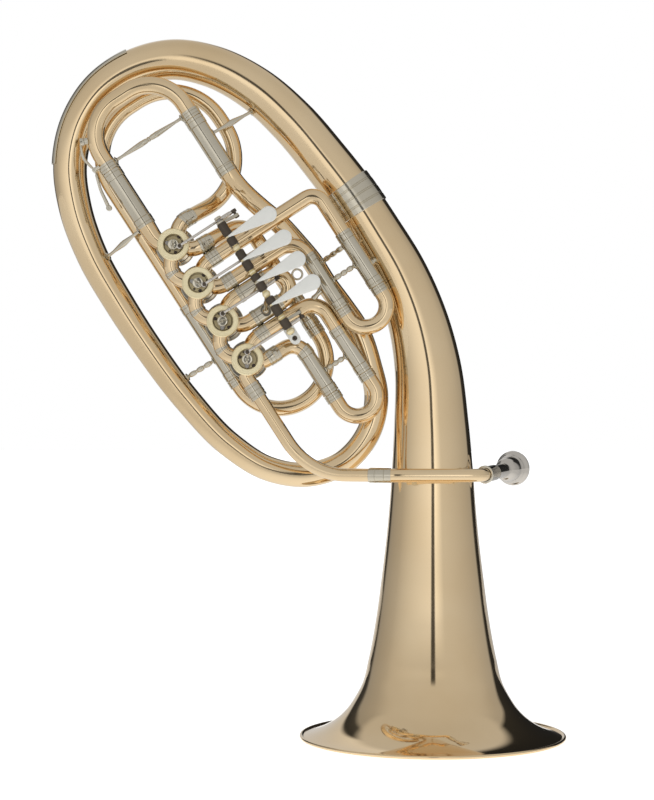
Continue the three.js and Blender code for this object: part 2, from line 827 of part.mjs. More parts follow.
function makeFirst() {
  const valve = 3;
  const centre = valve * VALVE_PITCH;
  const upperLine = centre - PORT_OFFSET;
  const lowerLine = centre + LAST_PORT_OFFSET;
  const [start, end] = FIRST_SLEEVES;
  const upper = bentRoute(
    [
      portStart(valve, -1, 1),
      fromBank(upperLine, PORT_OFFSET, PORT_DEPTH),
      fromBank(upperLine, FIRST_LEGS[0], PORT_DEPTH),
      fromBank(end, FIRST_LEGS[0], PORT_DEPTH),
    ],
    [PORT_BEND, FIRST_ELBOWS[0]],
  );
  const [upperEase, lowerEase] = FIRST_EASES;
  const upperRoute = eased(upper, upperEase, PORT_DEPTH, FIRST_DEPTH);
  branchWithSleeve("first_upper_branch", upperRoute, end - start, valve);
  const lower = bentRoute(
    [
      portStart(valve, 1, 1),
      fromBank(lowerLine, LAST_PORT_OFFSET, PORT_DEPTH),
      fromBank(lowerLine, FIRST_LEGS[1], PORT_DEPTH),
      fromBank(end, FIRST_LEGS[1], PORT_DEPTH),
    ],
    [LAST_PORT_BEND, FIRST_ELBOWS[1]],
  );
  const lowerRoute = eased(lower, lowerEase, PORT_DEPTH, FIRST_DEPTH);
  branchWithSleeve("first_lower_branch", lowerRoute, end - start, valve);
  const bow = slideBow(FIRST_LEGS, end, SLIDE_ENGAGEMENT, FIRST_APEX, FIRST_DEPTH);
  place("slide_1", bow, brass);
}

function makeSecond() {
  const valve = 2;
  const centre = valve * VALVE_PITCH;
  const [start, end] = SECOND_SLEEVES;
  for (const [name, side] of [["second_upper_sleeve", -1], ["second_lower_sleeve", 1]]) {
    const line = centre + side * PORT_OFFSET;
    const route = bentRoute(
      [
        portStart(valve, side, 1),
        fromBank(line, PORT_OFFSET, PORT_DEPTH),
        fromBank(line, end, PORT_DEPTH),
      ],
      [PORT_BEND],
    );
    const path = pathThrough(route);
    const outer = sleeveRows(path.total, end - start, TUBE_RADIUS, SLEEVE_RADIUS, SECOND_COLLAR_LENGTH);
    const bore = sleeveBore(path.total, end - start, TUBE_RADIUS, SLEEVE_RADIUS);
    place(name, ported(hollowTube(path, outer, bore), valve), nickel);
  }
  const legs = [centre - PORT_OFFSET, centre + PORT_OFFSET];
  const inner = end - SECOND_ENGAGEMENT;
  const route = bentRoute(
    [
      fromBank(legs[0], inner, PORT_DEPTH),
      fromBank(legs[0], SECOND_APEX, PORT_DEPTH),
      fromBank(legs[1], SECOND_APEX, PORT_DEPTH),
      fromBank(legs[1], inner, PORT_DEPTH),
    ],
    [PORT_OFFSET, PORT_OFFSET],
  );
  const path = pathThrough(route);
  const outer = bowRows(
    path.total,
    SECOND_ENGAGEMENT,
    SECOND_COLLAR_LENGTH,
    LEG_RADIUS,
    COLLAR_RADIUS_OUT,
    TUBE_RADIUS,
  );
  const bore = [
    [0, LEG_RADIUS - TUBE_WALL],
    [path.total, LEG_RADIUS - TUBE_WALL],
  ];
  const ring = new THREE.TorusGeometry(RING_RADIUS, RING_WIRE, WIRE_SIDES, ROUND_SIDES);
  const ringCentre = SECOND_APEX + TUBE_RADIUS + RING_RADIUS;
  ring.translate(ringCentre, centre, PORT_DEPTH).applyMatrix4(bankPlace);
  place("slide_2", joined(hollowTube(path, outer, bore), closed(ring)), brass);
}

function makeThird() {
  const valve = 1;
  const centre = valve * VALVE_PITCH;
  const [start, end] = THIRD_SLEEVES;
  for (const [i, name, side] of [[0, "third_upper_branch", -1], [1, "third_lower_branch", 1]]) {
    const line = centre + side * PORT_OFFSET;
    const route = bentRoute(
      [
        portStart(valve, side, 1),
        fromBank(line, PORT_OFFSET, PORT_DEPTH),
        fromBank(line, THIRD_LEGS[i], PORT_DEPTH),
        fromBank(end, THIRD_LEGS[i], PORT_DEPTH),
      ],
      [PORT_BEND, THIRD_ELBOWS[i]],
    );
    branchWithSleeve(name, route, end - start, valve);
  }
  const bow = slideBow(THIRD_LEGS, end, SLIDE_ENGAGEMENT, THIRD_APEX, PORT_DEPTH);
  place("slide_3", bow, brass);
}

function makeFourth() {
  const [start, end] = FOURTH_SLEEVES;
  const [left, right] = FOURTH_LEGS;
  const upper = bentRoute(
    [
      portStart(0, -1, 1),
      fromBank(-FOURTH_LINE, FOURTH_LINE, PORT_DEPTH),
      fromBank(-FOURTH_LINE, FOURTH_RIGHT, PORT_DEPTH),
      fromBank(FOURTH_TOP, FOURTH_RIGHT, PORT_DEPTH),
      fromBank(FOURTH_TOP, left, PORT_DEPTH),
      fromBank(end, left, PORT_DEPTH),
    ],
    [PORT_BEND, ...FOURTH_TOP_BENDS],
  );
  const upperRoute = eased(upper, FOURTH_EASE, PORT_DEPTH, LOOP_DEPTH);
  branchWithSleeve("fourth_upper_branch", upperRoute, end - start, 0);
  const lower = bentRoute(
    [
      portStart(0, 1, 1),
      fromBank(PORT_OFFSET, PORT_OFFSET, PORT_DEPTH),
      fromBank(PORT_OFFSET, right, PORT_DEPTH),
      fromBank(end, right, PORT_DEPTH),
    ],
    [PORT_BEND, FOURTH_ELBOW],
  );
  const lowerRoute = eased(lower, FOURTH_EASE, PORT_DEPTH, LOOP_DEPTH);
  branchWithSleeve("fourth_lower_branch", lowerRoute, end - FOURTH_RIGHT_SLEEVE_START, 0);
  const bow = slideBow(FOURTH_LEGS, end, FOURTH_ENGAGEMENT, FOURTH_APEX, LOOP_DEPTH);
  place("slide_4", bow, brass);
}

function makeMainSlide() {
  const plain = MAIN_BOW_RADIUS - TUBE_WALL;
  const leg = MAIN_SLEEVE_RADIUS - SLEEVE_WALL - GAP - GAP / 6;
  const sleeve = MAIN_SLEEVE_BOTTOM - MAIN_SLEEVE_TOP;
  const left = bentRoute(
    [
      portStart(0, -1, -1),
      fromBank(MAIN_LEFT, MAIN_LEFT, PORT_DEPTH),
      fromBank(MAIN_SLEEVE_TOP, MAIN_LEFT, PORT_DEPTH),
    ],
    [PORT_BEND],
  );
  const leftPath = pathThrough(left);
  const outer = sleeveRows(leftPath.total, sleeve, TUBE_RADIUS, MAIN_SLEEVE_RADIUS, MAIN_COLLAR_LENGTH);
  const bore = sleeveBore(leftPath.total, sleeve, TUBE_RADIUS, MAIN_SLEEVE_RADIUS);
  place("main_sleeve_left", ported(hollowTube(leftPath, outer, bore), 0), nickel);
  const right = pathThrough([
    fromBank(MAIN_SLEEVE_BOTTOM, MAIN_RIGHT, PORT_DEPTH),
    fromBank(MAIN_SLEEVE_TOP, MAIN_RIGHT, PORT_DEPTH),
  ]);
  const ends = [
    [0, MAIN_COLLAR_LENGTH],
    [sleeve - MAIN_COLLAR_LENGTH, MAIN_COLLAR_LENGTH],
  ];
  const rightRows = collared(0, sleeve, MAIN_SLEEVE_RADIUS, ends);
  const rightBore = [
    [0, MAIN_SLEEVE_RADIUS - SLEEVE_WALL],
    [sleeve, MAIN_SLEEVE_RADIUS - SLEEVE_WALL],
  ];
  place("main_sleeve_right", hollowTube(right, rightRows, rightBore), nickel);
  const bowPath = pathThrough(
    bentRoute(
      [
        fromBank(MAIN_SLEEVE_TOP + MAIN_ENGAGEMENT, MAIN_LEFT, PORT_DEPTH),
        fromBank(MAIN_APEX, MAIN_LEFT, PORT_DEPTH),
        fromBank(MAIN_APEX, MAIN_RIGHT, PORT_DEPTH),
        fromBank(MAIN_SLEEVE_TOP + MAIN_ENGAGEMENT, MAIN_RIGHT, PORT_DEPTH),
      ],
      [MAIN_BEND, MAIN_BEND],
    ),
  );
  const collar = MAIN_SLEEVE_RADIUS + COLLAR_RISE;
  const rows = bowRows(
    bowPath.total,
    MAIN_ENGAGEMENT,
    MAIN_COLLAR_LENGTH,
    leg,
    collar,
    MAIN_BOW_RADIUS,
  );
  const bowBore = [
    [0, leg - TUBE_WALL],
    [MAIN_ENGAGEMENT, plain],
    [bowPath.total - MAIN_ENGAGEMENT, plain],
    [bowPath.total, leg - TUBE_WALL],
  ];
  const bow = hollowTube(bowPath, rows, bowBore);
  place("main_tuning_slide", joined(bow, ...keySaddle()), brass);
}

// Water key: two lugs and a pin on the slide, and the key that turns on the pin
function keyPoint(place, depth = 0) {
  return fromBank(place[0], place[1], PORT_DEPTH + depth);
}

function keySaddle() {
  const half = KEY_BARREL_LENGTH / 2 + GAP;
  const lugs = [-1, 1].map((side) => {
    const near = side * half;
    const far = side * (half + SADDLE_THICKNESS);
    const eye = pin(keyPoint(KEY_PIVOT, near), keyPoint(KEY_PIVOT, far), KEY_BARREL, SMALL_SIDES);
    const length = -MAIN_SADDLE_REACH - KEY_PIVOT[1];
    const plate = new THREE.BoxGeometry(length, 2 * KEY_BARREL, SADDLE_THICKNESS);
    plate.translate(KEY_PIVOT[1] + length / 2, KEY_PIVOT[0], PORT_DEPTH + (near + far) / 2);
    return joined(eye, closed(plate.applyMatrix4(bankPlace)));
  });
  const reach = half + SADDLE_THICKNESS / 2;
  const axle = pin(keyPoint(KEY_PIVOT, -reach), keyPoint(KEY_PIVOT, reach), KEY_AXLE, SMALL_SIDES);
  const nozzle = pin(keyPoint(KEY_NOZZLE), keyPoint(KEY_MOUTH), KEY_PAD - GAP, ROUND_SIDES);
  return [...lugs, axle, nozzle];
}

function makeWaterKey() {
  const half = KEY_BARREL_LENGTH / 2;
  const ends = [keyPoint(KEY_PIVOT, -half), keyPoint(KEY_PIVOT, half)];
  const barrel = pin(ends[0], ends[1], KEY_BARREL);
  const arm = pin(keyPoint(KEY_PIVOT), keyPoint(KEY_BACK), KEY_RADIUS, SMALL_SIDES);
  const finger = pin(keyPoint(KEY_PIVOT), keyPoint(KEY_FINGER), KEY_RADIUS, SMALL_SIDES);
  const fingerEnd = pin(
    keyPoint(KEY_FINGER, -KEY_FINGER_RADIUS),
    keyPoint(KEY_FINGER, KEY_FINGER_RADIUS),
    KEY_FINGER_RADIUS,
  );
  const padStart = keyPoint(KEY_MOUTH).lerp(keyPoint(KEY_BACK), KEY_PAD_SHARE);
  const pad = pin(padStart, keyPoint(KEY_BACK), KEY_PAD);
  const key = joined(barrel, arm, finger, fingerEnd, pad);
  place("water_key", cut(key, pin(ends[0], ends[1], KEY_AXLE + GAP)), nickel);
}

// The tube from the bottom bow up to the main slide, easing forward from the oval's plane
function makeInnerBranch() {
  const start = oval.points[BOTTOM_JOINT].clone();
  start.addScaledVector(oval.tangents[BOTTOM_JOINT], GAP / 2);
  const stations = INNER_STATIONS.map(([alongBank, acrossBank, depth]) => {
    return fromBank(alongBank, acrossBank, depth);
  });
  const end = fromBank(MAIN_SLEEVE_BOTTOM + GAP, MAIN_RIGHT, PORT_DEPTH);
  const curve = new THREE.CatmullRomCurve3([start, ...stations, end], false, "centripetal");
  const path = pathThrough(curve.getPoints(INNER_STATIONS.length + 3));
  path.tangents[0].copy(oval.tangents[BOTTOM_JOINT]);
  path.tangents.at(-1).copy(along).negate();
  path.normals = path.normals.map((normal, i) => squareTo(normal, path.tangents[i]));
  const lower = STEM_RADIUS * OVAL_SHARES.at(-1)[2];
  const change = (MAIN_SLEEVE_RADIUS - lower) / path.total;
  const rows = path.lengths.map((length) => [length, lower + change * length]);
  const bore = rows.map(([length, radius]) => [length, radius - BIG_WALL]);
  place("inner_branch", hollowTube(path, rows, bore, INNER_SIDES), brass);
}

function makeLeadpipe() {
  const valve = 3;
  const centre = valve * VALVE_PITCH;
  const side = Math.abs(LEADPIPE_ACROSS);
  const start = portStart(valve, 1, -1);
  const corner = fromBank(centre + side, LEADPIPE_ACROSS, PORT_DEPTH);
  const turn = fromBank(LEADPIPE_TURN, LEADPIPE_ACROSS, PORT_DEPTH + (LEADPIPE_FRONT - PORT_DEPTH) / 8);
  const front = new THREE.Vector3(LEADPIPE_MIDDLE, LEADPIPE_FRONT, turn.z);
  const last = new THREE.Vector3(LEADPIPE_END_X, LEADPIPE_FRONT, turn.z);
  const heading = mouthpieceHeading();
  const end = last.clone().addScaledVector(heading, LEADPIPE_TAIL);
  const path = pathThrough(bentRoute([start, corner, turn, front, last, end], LEADPIPE_BENDS));
  const collar = LEADPIPE_COLLAR_START;
  const rows = [
    [0, LEADPIPE_START_RADIUS],
    [collar, LEADPIPE_START_RADIUS],
    [collar, SLEEVE_RADIUS],
    [collar + LEADPIPE_COLLAR_LENGTH, SLEEVE_RADIUS],
    [collar + LEADPIPE_COLLAR_LENGTH, LEADPIPE_RADIUS],
    [path.total - RECEIVER_OVERLAP - GAP, LEADPIPE_RADIUS],
    [path.total - RECEIVER_OVERLAP - GAP, RECEIVER_BORE - GAP],
    [path.total, RECEIVER_BORE - GAP],
  ];
  const bore = [
    [0, LEADPIPE_START_RADIUS - TUBE_WALL],
    [collar, LEADPIPE_RADIUS - TUBE_WALL],
    [path.total, RECEIVER_BORE - GAP - TUBE_WALL],
  ];
  place("leadpipe", ported(hollowTube(path, rows, bore), valve), brass);
  const mouth = end.clone().addScaledVector(heading, RECEIVER_LENGTH - RECEIVER_OVERLAP);
  makeReceiver(mouth, heading);
  makeMouthpiece(mouth, heading);
}

function mouthpieceHeading() {
  const level = new THREE.Vector3(Math.sin(MOUTHPIECE_TURN), Math.cos(MOUTHPIECE_TURN), 0);
  return level.multiplyScalar(Math.cos(MOUTHPIECE_RISE)).setZ(Math.sin(MOUTHPIECE_RISE));
}

function makeReceiver(mouth, heading) {
  const ringStart = RECEIVER_LENGTH - RECEIVER_RING_LENGTH;
  const outline = [
    [0, RECEIVER_BORE],
    [0, RECEIVER_RADIUS],
    [ringStart, RECEIVER_RADIUS],
    [ringStart, RECEIVER_RADIUS + RECEIVER_RING],
    [RECEIVER_LENGTH, RECEIVER_RADIUS + RECEIVER_RING],
    [RECEIVER_LENGTH, RECEIVER_BORE],
  ];
  const start = mouth.clone().addScaledVector(heading, -RECEIVER_LENGTH);
  place("mouthpiece_receiver", turnedRing(outline, start, mouth), nickel);
}

function makeMouthpiece(mouth, heading) {
  const tip = mouth.clone().addScaledVector(heading, -MOUTHPIECE_INSERTION);
  const outline = [];
  for (const [length, radius] of MOUTHPIECE_SHARES) {
    outline.push([length * MOUTHPIECE_LENGTH, radius * MOUTHPIECE_RIM]);
  }
  for (const [length, radius] of MOUTHPIECE_BORE_SHARES.toReversed()) {
    outline.push([length * MOUTHPIECE_LENGTH, radius * MOUTHPIECE_RIM]);
  }
  place("mouthpiece", turnedRing(outline, tip, mouth, BIG_SIDES), silver);
}

function makeValve(valve) {
  const number = VALVE_COUNT - valve;
  const centre = valve * VALVE_PITCH;
  const back = fromBank(centre, 0, PORT_DEPTH + CASING_LENGTH / 2);
  const front = fromBank(centre, 0, PORT_DEPTH - CASING_LENGTH / 2);
  const inside = CASING_RADIUS - CASING_WALL;
  const cup = turned(
    [
      [0, CASING_RADIUS],
      [CASING_LENGTH, CASING_RADIUS],
      [CASING_LENGTH, inside],
      [CASING_BACK, inside],
    ],
    back,
    front,
    CASING_SIDES,
  );
  const holes = [];
  for (const [up, right] of [[-1, -1], [-1, 1], [1, -1], [1, 1]]) {
    const reach = (CASING_RADIUS + OVERRUN) * Math.SQRT1_2;
    const rim = fromBank(centre + up * reach, right * reach, PORT_DEPTH);
    holes.push(pin(portStart(valve, up, right), rim, TUBE_RADIUS - 2 * TUBE_WALL, TUBE_SIDES));
  }
  place(`valve_casing_${number}`, cut(cup, ...holes), brass);
  makeRotor(valve, number, back, front);
  makeCap(number, centre);
}

function makeRotor(valve, number, back, front) {
  const centre = valve * VALVE_PITCH;
  const radius = CASING_RADIUS - CASING_WALL - GAP;
  const core = turned(
    [
      [CASING_BACK + GAP, radius],
      [CASING_LENGTH - ROTOR_RECESS, radius],
      [CASING_LENGTH - ROTOR_RECESS, SPINDLE_RADIUS],
      [CASING_LENGTH + CAP_THICKNESS, SPINDLE_RADIUS],
      [CASING_LENGTH + CAP_THICKNESS, SCREW_RADIUS],
      [CASING_LENGTH + CAP_THICKNESS + SCREW_HEIGHT, SCREW_RADIUS],
    ],
    back,
    front,
    CASING_SIDES,
  );
  const channels = [-1, 1].map((side) => {
    const line = side * CASING_RADIUS * Math.SQRT1_2;
    const from = fromBank(centre - CASING_RADIUS, line, PORT_DEPTH);
    const to = fromBank(centre + CASING_RADIUS, line, PORT_DEPTH);
    return pin(from, to, ROTOR_CHANNEL, TUBE_SIDES);
  });
  const [up, right] = ARM_PLACES[valve];
  const top = PORT_DEPTH - CASING_LENGTH / 2 - CAP_THICKNESS;
  const arm = pin(
    fromBank(centre, 0, top + ARM_THICKNESS / 2),
    fromBank(centre + up, right, top + ARM_THICKNESS / 2),
    ARM_THICKNESS / 2,
    SMALL_SIDES,
  );
  const boss = pin(
    fromBank(centre + up, right, top + ARM_THICKNESS),
    fromBank(centre + up, right, top - PIN_HEIGHT),
    ARM_PIN_RADIUS,
    TUBE_SIDES,
  );
  place(`rotor_${number}`, joined(cut(core, ...channels), arm, boss), nickel);
}

function makeCap(number, centre) {
  const under = PORT_DEPTH - CASING_LENGTH / 2 - GAP;
  const edge = CAP_THICKNESS / 4;
  const disc = turned(
    [
      [0, CAP_RADIUS - edge],
      [edge, CAP_RADIUS],
      [CAP_THICKNESS - edge, CAP_RADIUS],
      [CAP_THICKNESS, CAP_RADIUS - edge],
    ],
    fromBank(centre, 0, under),
    fromBank(centre, 0, under - CAP_THICKNESS),
    CASING_SIDES,
  );
  const window = pin(
    fromBank(centre, WINDOW_SHIFT, under + OVERRUN),
    fromBank(centre, WINDOW_SHIFT, under - CAP_THICKNESS - OVERRUN),
    WINDOW_RADIUS,
    CASING_SIDES,
  );
  place(`valve_cap_${number}`, cut(disc, window), capBrass);
}

function makeKnuckle(valve) {
  const number = VALVE_COUNT - valve;
  const centre = valve * VALVE_PITCH;
  const half = VALVE_PITCH / 2;
  const route = bentRoute(
    [
      portStart(valve, 1, -1),
      fromBank(centre + half, -half, PORT_DEPTH),
      portStart(valve + 1, -1, -1),
    ],
    [KNUCKLE_BEND],
  );
  const path = pathThrough(route);
  const rows = [
    [0, TUBE_RADIUS],
    [path.total, TUBE_RADIUS],
  ];
  const bore = rows.map(([length, radius]) => [length, radius - TUBE_WALL]);
  const tube = ported(ported(hollowTube(path, rows, bore), valve), valve + 1);
  place(`knuckle_${number}_${number - 1}`, tube, brass);
}

// Levers turn on the axle; each has a touch plate in front and a crank that drives its rod
function rodLine(valve) {
  return valve * VALVE_PITCH + ARM_PLACES[valve][0];
}

function makeLever(valve) {
  const number = VALVE_COUNT - valve;
  const [start, end] = BARREL_PLACES[valve];
  const barrel = turnedRing(
    [
      [0, BARREL_BORE],
      [0, BARREL_RADIUS],
      [end - start, BARREL_RADIUS],
      [end - start, BARREL_BORE],
    ],
    fromBank(start, AXLE_ACROSS, AXLE_DEPTH),
    fromBank(end, AXLE_ACROSS, AXLE_DEPTH),
  );
  const crank = rodLine(valve) + CRANK_SIDE[valve] * CRANK_OFFSET;
  const pinAcross = AXLE_ACROSS + CRANK_ACROSS;
  const arm = pin(
    fromBank(crank, AXLE_ACROSS, AXLE_DEPTH),
    fromBank(crank, pinAcross, ROD_DEPTH),
    CRANK_WIDTH / 2,
    WIRE_SIDES,
  );
  const end1 = fromBank(crank - CRANK_WIDTH / 2, pinAcross, ROD_DEPTH);
  const end2 = fromBank(crank + CRANK_WIDTH / 2, pinAcross, ROD_DEPTH);
  const boss = pin(end1, end2, ROD_EYE_RADIUS, TUBE_SIDES);
  const far = rodLine(valve) - (CRANK_SIDE[valve] * ROD_EYE_HEIGHT) / 2;
  const stud = pin(
    fromBank(crank, pinAcross, ROD_DEPTH),
    fromBank(far, pinAcross, ROD_DEPTH),
    STUD_RADIUS,
    WIRE_SIDES,
  );
  const bore = pin(
    fromBank(start - OVERRUN, AXLE_ACROSS, AXLE_DEPTH),
    fromBank(end + OVERRUN, AXLE_ACROSS, AXLE_DEPTH),
    BARREL_BORE,
  );
  const lever = joined(barrel, touchPlate(valve), arm, boss, stud);
  place(`lever_${number}`, cut(lever, bore), satin);
}

function touchPlate(valve) {
  const outline = new THREE.Shape();
  const middle = TOUCH_LENGTH - TOUCH_RADIUS;
  outline.moveTo(0, -TOUCH_NECK);
  outline.lineTo(middle * TOUCH_SHARE, -TOUCH_NECK);
  outline.absarc(middle, 0, TOUCH_RADIUS, -TOUCH_OPENING, TOUCH_OPENING, false);
  outline.lineTo(middle * TOUCH_SHARE, TOUCH_NECK);
  outline.lineTo(0, TOUCH_NECK);
  const settings = { depth: TOUCH_THICKNESS, bevelEnabled: false, curveSegments: WIRE_SIDES };
  const plate = new THREE.ExtrudeGeometry(outline, settings);
  plate.rotateZ(TOUCH_SLEW);
  plate.translate(AXLE_ACROSS, TOUCH_PLACES[valve], AXLE_DEPTH - 2 * TOUCH_THICKNESS);
  return closed(plate.applyMatrix4(bankPlace));
}

function makeRod(valve) {
  const number = VALVE_COUNT - valve;
  const line = rodLine(valve);
  const near = ARM_PLACES[valve][1];
  const far = AXLE_ACROSS + CRANK_ACROSS;
  const top = PORT_DEPTH - CASING_LENGTH / 2 - CAP_THICKNESS - PIN_HEIGHT - 2 * GAP;
  const eye = pin(
    fromBank(line, near, top),
    fromBank(line, near, 2 * ROD_DEPTH - top),
    ROD_EYE_RADIUS,
    TUBE_SIDES,
  );
  const shaft = pin(
    fromBank(line, near, ROD_DEPTH),
    fromBank(line, far - ROD_EYE_RADIUS + GAP, ROD_DEPTH),
    ROD_RADIUS,
    WIRE_SIDES,
  );
  const thick = pin(
    fromBank(line, far - ROD_SLEEVE_LENGTH, ROD_DEPTH),
    fromBank(line, far - ROD_EYE_RADIUS + GAP, ROD_DEPTH),
    ROD_SLEEVE_RADIUS,
    WIRE_SIDES,
  );
  const half = ROD_EYE_HEIGHT / 2;
  const ring = turnedRing(
    [
      [0, STUD_RADIUS + GAP],
      [0, ROD_EYE_RADIUS],
      [ROD_EYE_HEIGHT, ROD_EYE_RADIUS],
      [ROD_EYE_HEIGHT, STUD_RADIUS + GAP],
    ],
    fromBank(line - half, far, ROD_DEPTH),
    fromBank(line + half, far, ROD_DEPTH),
  );
  const hole = pin(
    fromBank(line - OVERRUN, far, ROD_DEPTH),
    fromBank(line + OVERRUN, far, ROD_DEPTH),
    STUD_RADIUS + GAP,
  );
  place(`rod_${number}`, cut(joined(eye, shaft, thick, ring), hole), nickel);
}

function makeLeverRack() {
  const axle = pin(
    fromBank(AXLE_ENDS[0], AXLE_ACROSS, AXLE_DEPTH),
    fromBank(AXLE_ENDS[1], AXLE_ACROSS, AXLE_DEPTH),
    AXLE_RADIUS,
  );
  const floor = PORT_DEPTH - SLEEVE_RADIUS - COLLAR_RISE - GAP;
  const pieces = [axle];
  for (const [head, foot, acrossFoot, width] of POSTS) {
    const half = POST_WIDTH / 2;
    const eye = pin(
      fromBank(head - half, AXLE_ACROSS, AXLE_DEPTH),
      fromBank(head + half, AXLE_ACROSS, AXLE_DEPTH),
      POST_HEAD,
    );
    const stem = pin(
      fromBank(head, AXLE_ACROSS, AXLE_DEPTH),
      fromBank(foot, acrossFoot, floor - FOOT_THICKNESS / 2),
      half,
      TUBE_SIDES,
    );
    const plate = new THREE.BoxGeometry(FOOT_LENGTH, width, FOOT_THICKNESS);
    plate.translate(acrossFoot, foot, floor - FOOT_THICKNESS / 2).applyMatrix4(bankPlace);
    pieces.push(eye, stem, closed(plate));
  }
  const screw = pin(
    fromBank(FOOT_SCREW, AXLE_ACROSS, floor),
    fromBank(FOOT_SCREW, AXLE_ACROSS, floor - 2 * FOOT_THICKNESS),
    POST_WIDTH / 2,
    TUBE_SIDES,
  );
  place("lever_rack", joined(...pieces, screw), nickel);
}

// A turned brace between two tubes, each given by a point on its axis, its heading and its radius
function makeBrace(name, from, to, shares = BRACE_SHARES) {
  const direction = to.point.clone().sub(from.point).normalize();
  const start = from.point.clone().addScaledVector(direction, from.radius);
  const end = to.point.clone().addScaledVector(direction, -to.radius);
  const length = start.distanceTo(end);
  const rows = shares.map(([share, radius]) => [share * length, radius * BRACE_RADIUS]);
  const seats = [from, to].map(({ point, heading, radius }) => {
    const reach = 2 * BRACE_SEAT;
    const near = point.clone().addScaledVector(heading, -reach);
    const far = point.clone().addScaledVector(heading, reach);
    return pin(near, far, radius + GAP, BIG_SIDES);
  });
  place(name, cut(turned(rows, start, end, SMALL_SIDES), ...seats), nickel);
}

function makeBraces() {
  const leg = (place, line, depth, radius = SLEEVE_RADIUS) => {
    return { point: fromBank(place, line, depth), heading: along, radius };
  };
  const onOval = (station) => {
    const [low, high] = [Math.floor(station), Math.ceil(station)];
    const point = oval.points[low].clone().lerp(oval.points[high], station - low);
    return { point, heading: oval.tangents[low], radius: oval.radii[low] };
  };
  const ferrule = MAIN_SLEEVE_RADIUS + COLLAR_RISE;
  makeBrace(
    "main_slide_brace",
    leg(BRACES.mainSlide, MAIN_LEFT, PORT_DEPTH, ferrule),
    leg(BRACES.mainSlide, MAIN_RIGHT, PORT_DEPTH, ferrule),
  );
  makeBrace(
    "main_bow_brace",
    leg(BRACES.mainBow, MAIN_RIGHT, PORT_DEPTH, MAIN_SLEEVE_RADIUS),
    onOval(BRACES.mainBowStation),
  );
  makeBrace(
    "main_side_brace",
    leg(BRACES.mainSide, MAIN_LEFT, PORT_DEPTH, ferrule),
    onOval(BRACES.mainSideStation),
  );
  makeBrace(
    "fourth_side_brace",
    leg(BRACES.fourthSide, FOURTH_LEGS[0], LOOP_DEPTH),
    onOval(BRACES.fourthSideStation),
  );
  makeBrace(
    "third_bell_brace",
    leg(BRACES.thirdBell, THIRD_LEGS[0], PORT_DEPTH),
    onOval(BRACES.thirdBellStation),
  );
  const inner = fromBank(...BRACES.innerThird);
  makeBrace(
    "inner_third_brace",
    { point: inner, heading: along, radius: BRACES.innerThirdShare * STEM_RADIUS },
    leg(BRACES.innerThird[0], THIRD_LEGS[0], PORT_DEPTH),
  );
  makeBrace(
    "third_slide_brace",
    leg(BRACES.third, THIRD_LEGS[1], PORT_DEPTH),
    leg(BRACES.third, THIRD_LEGS[0], PORT_DEPTH),
  );
  const [elbow, elbowAcross] = BRACES.firstThird;
  makeBrace(
    "first_third_brace",
    { point: fromBank(elbow, elbowAcross, FIRST_DEPTH), heading: across, radius: TUBE_RADIUS },
    leg(BRACES.third, THIRD_LEGS[1], PORT_DEPTH),
    SHORT_BRACE_SHARES,
  );
  makeBrace(
    "first_slide_brace",
    leg(BRACES.first, FIRST_LEGS[1], FIRST_DEPTH),
    leg(BRACES.first, FIRST_LEGS[0], FIRST_DEPTH),
  );
  const level = fromBank(LEADPIPE_TURN, LEADPIPE_ACROSS, PORT_DEPTH).z;
  makeBrace(
    "leadpipe_brace",
    {
      point: new THREE.Vector3(BRACES.leadpipe, LEADPIPE_FRONT, level),
      heading: new THREE.Vector3(1, 0, 0),
      radius: LEADPIPE_RADIUS,
    },
    {
      point: new THREE.Vector3(BRACES.leadpipe, 0, level),
      heading: new THREE.Vector3(0, 0, 1),
      radius: STEM_RADIUS,
    },
  );
}

makeBell();
makeOvalTubes();
makeGuard();
makeInnerBranch();
makeMainSlide();
makeWaterKey();
makeFirst();
makeSecond();
makeThird();
makeFourth();
makeLeadpipe();
for (let valve = 0; valve < VALVE_COUNT; valve++) {
  makeValve(valve);
  makeLever(valve);
  makeRod(valve);
}
for (let valve = 0; valve < VALVE_COUNT - 1; valve++) makeKnuckle(valve);
makeLeverRack();
makeBraces();

// The part's origin: the middle of its bounds, at the height of the rim
const bounds = new THREE.Box3().setFromObject(part);
const middle = bounds.getCenter(new THREE.Vector3());
part.position.set(-middle.x, -middle.y, -bounds.min.z);

export default part;
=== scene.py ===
# %% [markdown]
# An oval alto horn standing on its bell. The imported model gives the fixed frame: where every piece
# sits and how it moves. This script dresses that frame with smooth metal surfaces and looks at it
# from the front, a little left of the bell, as one would photograph it on a white table.

# %% Load the frame
import math

import bmesh
import bpy
import numpy as np
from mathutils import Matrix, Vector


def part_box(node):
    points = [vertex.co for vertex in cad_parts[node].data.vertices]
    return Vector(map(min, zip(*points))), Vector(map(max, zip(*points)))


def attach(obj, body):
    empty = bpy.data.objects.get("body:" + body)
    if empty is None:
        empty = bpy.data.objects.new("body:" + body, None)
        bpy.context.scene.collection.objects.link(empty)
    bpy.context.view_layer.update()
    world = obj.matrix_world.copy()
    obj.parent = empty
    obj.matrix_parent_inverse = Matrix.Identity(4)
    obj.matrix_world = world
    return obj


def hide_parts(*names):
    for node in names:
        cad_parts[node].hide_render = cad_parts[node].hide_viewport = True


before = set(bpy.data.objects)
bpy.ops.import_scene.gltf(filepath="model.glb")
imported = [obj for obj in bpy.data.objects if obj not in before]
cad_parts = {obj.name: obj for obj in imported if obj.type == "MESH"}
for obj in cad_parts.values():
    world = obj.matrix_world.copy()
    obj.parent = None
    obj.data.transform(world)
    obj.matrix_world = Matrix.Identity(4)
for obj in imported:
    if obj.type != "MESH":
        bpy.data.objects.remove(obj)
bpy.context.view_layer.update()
print("nodes in the frame:", len(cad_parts))

